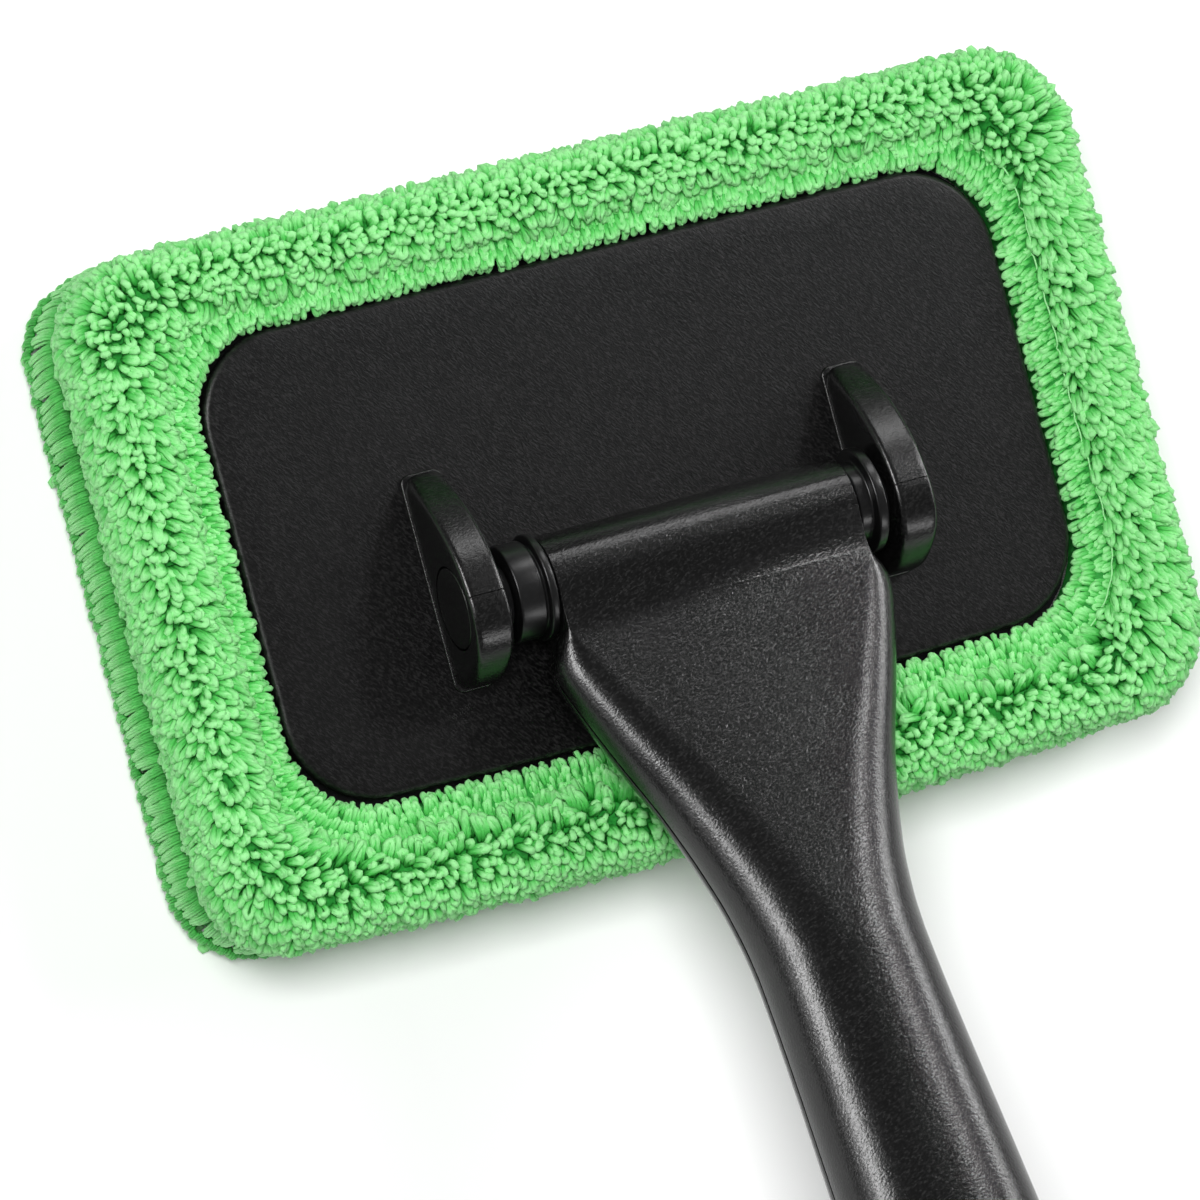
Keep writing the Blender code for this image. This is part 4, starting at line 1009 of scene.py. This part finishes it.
def bonnet_bases(mats):
    """The soft forms that the pile grows from, which stand for the bonnet's CAD solids."""
    low = TIER_TOP + GAP
    ledge = CARRIER_TOP + GAP
    inner = HEM_REACH + 0.015
    section, slope = smooth_section(ROLL_SECTION, 25)
    crown = (section + slope[:, ::-1] * ROLL_INSET / (REACH_WIDTH, -1.0))[::-1].tolist()
    roll = [(inner, ledge), (POCKET_REACH, ledge), (POCKET_REACH, low), (0.80, low)]
    roll += [(reach, height) for reach, height in crown
             if reach > HEM_REACH + 0.02 and height > low + 0.001]
    roll += [(inner, 0.0320), (inner, ledge)]
    base_form("bonnet_roll", roll, mats["backing"], "microfibre")
    face = [(POCKET_REACH, POCKET_FLOOR), (POCKET_REACH, TIER_TOP), (0.80, TIER_TOP - 0.0006),
            (0.88, 0.0158), (0.92, 0.0125), (0.925, 0.0090), (0.90, 0.0058), (0.84, 0.0036)]
    base_form("bonnet_face", face, mats["backing"], "microfibre")
    hem = [(0.04, HEM_BASE), (0.03, 0.0285), (0.045, 0.0312), (0.09, 0.0326), (0.18, 0.0332),
           (HEM_REACH, 0.0330), (HEM_REACH, HEM_BASE), (0.04, HEM_BASE)]
    base_form("bonnet_hem", hem, mats["backing"], "hem_microfibre")


# Moulded pieces

def back_panel(mats):
    """The panel with its soft rounded edge."""
    base = PANEL_TOP - PANEL_THICK
    section = [(PANEL_EDGE / 2, base), (0.0, base + PANEL_EDGE / 2)]
    for step in range(7):
        angle = pi / 2 * step / 6
        section.append((PANEL_EDGE * (1 - cos(angle)),
                        PANEL_TOP - PANEL_EDGE + PANEL_EDGE * sin(angle)))
    section.append((PANEL_RIM, PANEL_TOP))
    mesh = plate_mesh("panel", section, (PANEL_LENGTH / 2, PANEL_WIDTH / 2), PANEL_CORNER,
                      (0.0, PLATE_SHIFT), PANEL_BOW, 30.0)
    link_mesh("panel", mesh, mats["panel"], "head", "panel_plastic", "back_panel")


def plate_mesh(name, section, half, corner, centre, bow, smooth_angle, *steps):
    """A rounded plate from (inset, height) levels."""
    rings = []
    for inset, height in section:
        line = rounded_rectangle(half[0] - inset, half[1] - inset, corner - inset, centre[1], bow,
                                 *steps)
        rings.append(at_height(line + (centre[0], 0.0), height))
    return mesh_from_rings(name, rings, False, smooth_angle)


def ear_outline():
    """The ear's side outline (ahead, up) with outward normals; a fine seam crosses its rim."""
    line = smooth_line(EAR_OUTLINE, EAR_STEPS)
    top = np.flatnonzero(line[:, 1] > 0.9 * EAR_HEIGHT)
    after = int(top[np.searchsorted(line[top, 0], EAR_SEAM_AT)])
    height = np.interp(EAR_SEAM_AT, line[top, 0], line[top, 1])
    lines = []
    for depth in (EAR_SEAM_DEPTH, 0.0):
        seam = [(EAR_SEAM_AT - EAR_SEAM_HALF, height), (EAR_SEAM_AT, height - depth),
                (EAR_SEAM_AT + EAR_SEAM_HALF, height)]
        lines.append(np.vstack([line[:after], seam, line[after:]]))
    return lines[0], sideways(unit(np.gradient(lines[1], axis=0)))


def inner_round(radius, distance):
    """How far a rounded edge draws in at a distance from the face."""
    if distance >= radius:
        return 0.0
    return radius - sqrt(radius ** 2 - (radius - distance) ** 2)


def ear_body(name):
    """The ear's plate in its own frame (ahead, up, across), rounded at its edges and ends."""
    line, normals = ear_outline()
    middle = (EAR_AHEAD - EAR_BEHIND) / 2
    half = (EAR_AHEAD + EAR_BEHIND) / 2
    from_middle = (line[:, 0] - middle) / half
    end_share = np.clip((np.abs(from_middle) - 0.55) / 0.45, 0.0, 1.0) ** 2
    places = [(depth, -EAR_THICK / 2 + depth) for depth in EAR_DEPTHS]
    places += [(depth, EAR_THICK / 2 - depth) for depth in reversed(EAR_DEPTHS)]
    rings = []
    for depth, across in places:
        inset = inner_round(EAR_EDGE, depth)
        ends = inner_round(EAR_END_ROUND, depth) * end_share * np.sign(from_middle)
        ahead = line[:, 0] - normals[:, 0] * inset - ends
        up = np.maximum(line[:, 1] - normals[:, 1] * inset, 0.0)
        up[0] = up[-1] = 0.0
        rings.append(at_height(np.column_stack([ahead, up]), across))
    return mesh_from_rings(name, rings, False, 35.0)


def disc_mesh(radius, ends, edge, matrix, steps=96):
    """A turned disc between two heights with softened edges, moved by a matrix."""
    low, high = sorted(ends)
    profile = rounded([(radius, high), (radius, low), (SHARP, low), (SHARP, high)], edge)
    return transformed(lathe("disc", profile, steps), matrix)


def ears(mats):
    """Both ears, each with its recessed cap disc and the thin lip round its foot."""
    stand = Matrix.Rotation(pi / 2, 4, "Z") @ Matrix.Rotation(pi / 2, 4, "X")
    discs = ((CAP_RADIUS + GAP, EAR_OUTER - CAP_THICK - GAP, EAR_OUTER + CUTTER_OVER, SHARP),
             (PIN_RADIUS + GAP, EAR_INNER - CUTTER_OVER, EAR_OUTER, SHARP),
             (CAP_RADIUS, EAR_OUTER - CAP_THICK, EAR_OUTER, CAP_EDGE))
    for side, word in ((-1, "left"), (1, "right")):
        middle = side * (EAR_INNER + EAR_THICK / 2)
        place = Matrix.Translation((middle, AXIS_Y, PANEL_TOP + GAP))
        body = transformed(ear_body("ear_" + word), place @ stand)
        *cutters, cap = [disc_mesh(radius, (side * near, side * far), edge, AXIS_MATRIX @ ALONG_X)
                         for radius, near, far, edge in discs]
        body = cut_mesh(body, cutters, "ear_" + word)
        link_mesh("ear_" + word, body, mats["ear"], "head", "ear_plastic", "hinge_ear_" + word)
        link_mesh("cap_disc_" + word, cap, mats["ear"], "head", "ear_plastic", "pin_cap_" + word)
        ear_foot("ear_foot_" + word, middle, mats)


def ear_foot(name, middle, mats):
    """The thin lip where an ear meets the panel."""
    half = (EAR_THICK / 2 + EAR_FOOT_REACH, (EAR_AHEAD + EAR_BEHIND) / 2 + EAR_FOOT_REACH)
    centre = (middle, AXIS_Y + (EAR_AHEAD - EAR_BEHIND) / 2)
    section = [(inset, PANEL_TOP + EAR_FOOT_LIFT + rise * (EAR_FOOT_HEIGHT + GAP))
               for inset, rise in EAR_FOOT_SECTION]
    mesh = plate_mesh(name, section, half, EAR_FOOT_CORNER, centre, 0.0, 50.0, 8, 6)
    link_mesh(name, mesh, mats["ear"], "head", "ear_plastic")


def bushes(mats):
    """The two unlike bushes at the barrel's ends, with turned edges."""
    bore = PIN_RADIUS + GAP
    face = BARREL_LEFT + GAP
    flange = face + LEFT_FLANGE_THICK
    step = flange + LEFT_STEP_LENGTH
    end = flange + LEFT_RING_LENGTH
    low = LEFT_RING_RADIUS - LEFT_STEP_DEPTH
    left = [(bore, -face), (BUSH_FLANGE_RADIUS, -face), (BUSH_FLANGE_RADIUS, -flange),
            (low, -flange), (low, -step), (LEFT_RING_RADIUS, -step), (LEFT_RING_RADIUS, -end),
            (bore, -end)]
    face = BARREL_RIGHT + GAP
    neck = face + RIGHT_NECK_LENGTH
    end = neck + RIGHT_FLANGE_THICK
    right = [(bore, end), (BUSH_FLANGE_RADIUS, end), (BUSH_FLANGE_RADIUS, neck),
             (RIGHT_NECK_RADIUS, neck), (RIGHT_NECK_RADIUS, face), (bore, face)]
    for word, corners in (("left", left), ("right", right)):
        name = "bush_" + word
        mesh = transformed(lathe(name, rounded(corners, BUSH_EDGE)), HANDLE_MATRIX @ ALONG_X)
        link_mesh(name, mesh, mats["bush"], "handle", "bush_plastic", "barrel_bush_" + word)


# Handle

def ease(share):
    """A share from 0 to 1 with soft ends."""
    share = min(1.0, max(0.0, share))
    return share * share * (3.0 - 2.0 * share)


def blend(first, second, share):
    """A value between two others."""
    return first + (second - first) * share


def fan_taper(share):
    """The share of the shoulder's extra width that is left on the way to the neck, smoothed."""
    samples = np.clip(share + TAPER_NEAR * np.array([-1.0, -0.5, 0.0, 0.5, 1.0]), 0.0, 1.0)
    return float(np.interp(samples, FAN_TAPER[:, 0], FAN_TAPER[:, 1]) @ TAPER_WEIGHTS)


def soft_max(first, second, width):
    """The larger of two heights, with a fillet where they meet."""
    return max(first, second) + max(0.0, width - abs(first - second)) ** 2 / (4 * width)


def valley_height(distance):
    """The soft hollow between the barrel's round and the fan's floor."""
    span = VALLEY_END - VALLEY_START
    share = (distance - VALLEY_START) / span
    start = sqrt(BARREL_RADIUS ** 2 - VALLEY_START ** 2)
    start_slope = -VALLEY_START / start
    height = start * (1 + 2 * share) * (1 - share) ** 2 + FLOOR_LEVEL * share ** 2 * (3 - 2 * share)
    height += start_slope * span * share * (1 - share) ** 2
    return height + FLOOR_SLOPE * span * share ** 2 * (share - 1)


def handle_section(distance):
    """Half width, middle, top, bottom and the flat's share of the width at a distance."""
    share = max(0.0, (distance - SHOULDER_AT) / (NECK_AT - SHOULDER_AT))
    flat = middle = 0.0
    if distance < NECK_AT:
        half = blend(NECK[0], SHOULDER_HALF, fan_taper(share))
        top = FLOOR_LEVEL + FLOOR_SLOPE * (distance - VALLEY_END)
        bottom = blend(SHOULDER_BOTTOM, NECK[2], share ** 0.8)
        flat = 1.0 - blend(FAN_ROUND, NECK[0], share ** 0.75) / half
        middle = fan_taper(share) * (BARREL_RIGHT - BARREL_LEFT) / 2
    elif distance < GRIP_AT:
        share = ease((distance - NECK_AT) / (GRIP_AT - NECK_AT))
        half, top, bottom = [blend(*pair, share) for pair in zip(NECK, GRIP)]
    else:
        share = ease((distance - GRIP_AT) / (CAP_AT - GRIP_AT))
        along = min(1.0, max(0.0, (distance - CAP_AT) / (HANDLE_LENGTH - CAP_AT)))
        ends = [sqrt(max(0.0, 1.0 - along ** power)) for power in (4, 6, 6)]
        half, top, bottom = [blend(*pair, share) * end for pair, end in zip(zip(GRIP, BUTT), ends)]
    if distance < SHOULDER_FULL:
        barrel_half = (BARREL_LEFT + BARREL_RIGHT) / 2
        along = min(1.0, (SHOULDER_FULL - distance) / (SHOULDER_FULL - FAN_FRONT))
        half = barrel_half + (half - barrel_half) * (1.0 - along ** 1.8) ** 0.8
        flat = blend(flat, BARREL_FLAT, along ** 3)
        bottom = blend(WEB_BOTTOM, bottom, ease((distance - WEB_START) / WEB_REACH))
    round_height = sqrt(max(0.0, BARREL_RADIUS ** 2 - distance ** 2))
    if distance <= 0.0:
        bottom = round_height
    elif distance < BARREL_RADIUS + WEB_NEAR:
        bottom = soft_max(round_height, bottom, WEB_FILLET)
    if distance < VALLEY_START:
        top = round_height
    elif distance < VALLEY_END:
        top = valley_height(distance)
    return half, middle, top, bottom, flat


def oval_point(step, flat):
    """Shares of half width and height, and the side, at a step round the handle's section."""
    angle = pi * step / HALF_STEPS
    across = flat + (1.0 - flat) * abs(cos(angle)) ** OVAL_POWER
    up = abs(sin(angle)) ** OVAL_POWER
    return copysign(across, cos(angle)), up, copysign(1.0, sin(angle))


def half_loop(distance, side):
    """The upper or lower half of the handle's section, drawn in a little at the parting line."""
    half, middle, top, bottom, flat = handle_section(distance)
    reach, limit = (top, max) if side > 0 else (bottom, min)
    floor = -PARTING_DROP + side * GAP / 4
    if reach < THIN_REACH:
        floor = side * THIN_FLOOR
    points = []
    for step in range(HALF_STEPS + 1):
        across, up, _ = oval_point(step, flat)
        height = limit(side * up * reach, floor)
        near = min(1.0, abs(height - floor) / GROOVE_REACH)
        draw = PARTING_GROOVE * (1.0 - near) ** 2
        points.append((middle + (half - draw) * across, -distance, height))
    return points


def whole_loop(distance):
    """The handle's whole closed section at a distance from the axis."""
    half, middle, top, bottom, _ = handle_section(distance)
    points = []
    for step in range(2 * HALF_STEPS):
        across, up, side = oval_point(step, 0.0)
        reach = top if side > 0.0 else bottom
        points.append((middle + half * across, -distance, side * up * reach))
    return points


def drawn_in(loop, share):
    """A closed section made smaller round its middle: the end of the butt's spigot."""
    points = np.array(loop)
    middle = points.mean(axis=0)
    return middle + (points - middle) * share


def handle_stations(start, end):
    """Distances for the handle's sections: close together round the barrel and the shoulder."""
    marks = [-BARREL_RADIUS * cos(pi / 2 * step / 16) for step in range(17)]
    marks += [BARREL_RADIUS * sin(radians(4.5 * step)) for step in range(1, 15)]
    marks += list(np.arange(0.0078, FAN_FRONT, 0.0002))
    marks += [SHOULDER_FULL - (SHOULDER_FULL - FAN_FRONT) * cos(pi / 2 * step / 24)
              for step in range(25)]
    marks += list(np.arange(SHOULDER_FULL + 0.0005, NECK_AT, 0.0010))
    marks += list(np.arange(NECK_AT, CAP_AT, 0.0020))
    marks = sorted(set(round(float(mark), 7) for mark in marks))
    return [start] + [mark for mark in marks if start + 0.0001 < mark < end - 0.0001] + [end]


def handle_shells(mats):
    """Both halves of the handle, with recesses for the screws from below."""
    for side, word in ((1, "top"), (-1, "bottom")):
        name = "handle_" + word
        rings = [half_loop(distance, side) for distance in handle_stations(FIRST_STATION, CAP_AT)]
        mesh = mesh_from_rings(name, rings, False, 32.0)
        if side < 0:
            cutters = []
            for place in SCREW_PLACES:
                depth = handle_section(place)[3]
                ends = (-depth - 2 * CUTTER_OVER, -(depth - SCREW_HEAD_HEIGHT - GAP))
                cutters.append(disc_mesh(SCREW_HEAD_RADIUS + GAP, ends, SHARP,
                                         Matrix.Translation((0.0, -place, 0.0)), 48))
            mesh = cut_mesh(mesh, cutters, name)
        link_mesh(name, transformed(mesh, HANDLE_MATRIX), mats["handle"], "handle",
                  "handle_plastic", name + "_shell")


def slot_profile():
    """Heights and flare of the hanging slot, wider at both mouths for a rounded rim."""
    top = BUTT[1] * SLOT_LEVEL
    bottom = -BUTT[2] * SLOT_LEVEL
    points = [(bottom - 2 * CUTTER_OVER, SLOT_RIM * 2.0)]
    for step in range(7):
        rise = sin(pi / 2 * step / 6)
        points.append((bottom + SLOT_RIM * rise - SLOT_RIM / 2, SLOT_RIM * (1 - rise)))
    return points + [(-height + top + bottom, flare) for height, flare in reversed(points)]


def end_cap(mats):
    """The butt with its hanging slot."""
    start = CAP_AT + GAP
    rings = [drawn_in(whole_loop(place), SPIGOT_SHARE) for place in (CAP_AT + SPIGOT_GAP, start)]
    for step in range(CAP_STEPS + 1):
        share = sin(pi / 2 * step / CAP_STEPS) * 0.9995
        rings.append(whole_loop(blend(start, HANDLE_LENGTH, share)))
    body = mesh_from_rings("butt", rings, False, 32.0)
    straight = (SLOT_LENGTH - SLOT_WIDTH) / 2
    angles = [2 * pi * step / SLOT_STEPS for step in range(SLOT_STEPS)]
    rings = []
    for height, flare in slot_profile():
        radius = SLOT_WIDTH / 2 + flare
        rings.append([(copysign(straight, cos(angle)) + radius * cos(angle),
                       SLOT_INSET - HANDLE_LENGTH + radius * sin(angle), height)
                      for angle in angles])
    cutter = mesh_from_rings("slot", rings, False, 50.0)
    body = transformed(cut_mesh(body, [cutter], "butt"), HANDLE_MATRIX)
    link_mesh("butt", body, mats["handle"], "handle", "handle_plastic", "end_cap")


def dress_cad(mats):
    """Materials for the solids that nothing replaces."""
    for name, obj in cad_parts.items():
        for word, key in CAD_LOOKS:
            if word in name:
                obj.data.materials.clear()
                obj.data.materials.append(mats[key])


make_camera()
make_light()
make_floor()
MATS = make_materials()
for build in (bonnet_bases, roll_pile, tier_pile, hem_pile, stitching, underside_pile, back_panel,
              ears, bushes, handle_shells, end_cap, dress_cad):
    build(MATS)
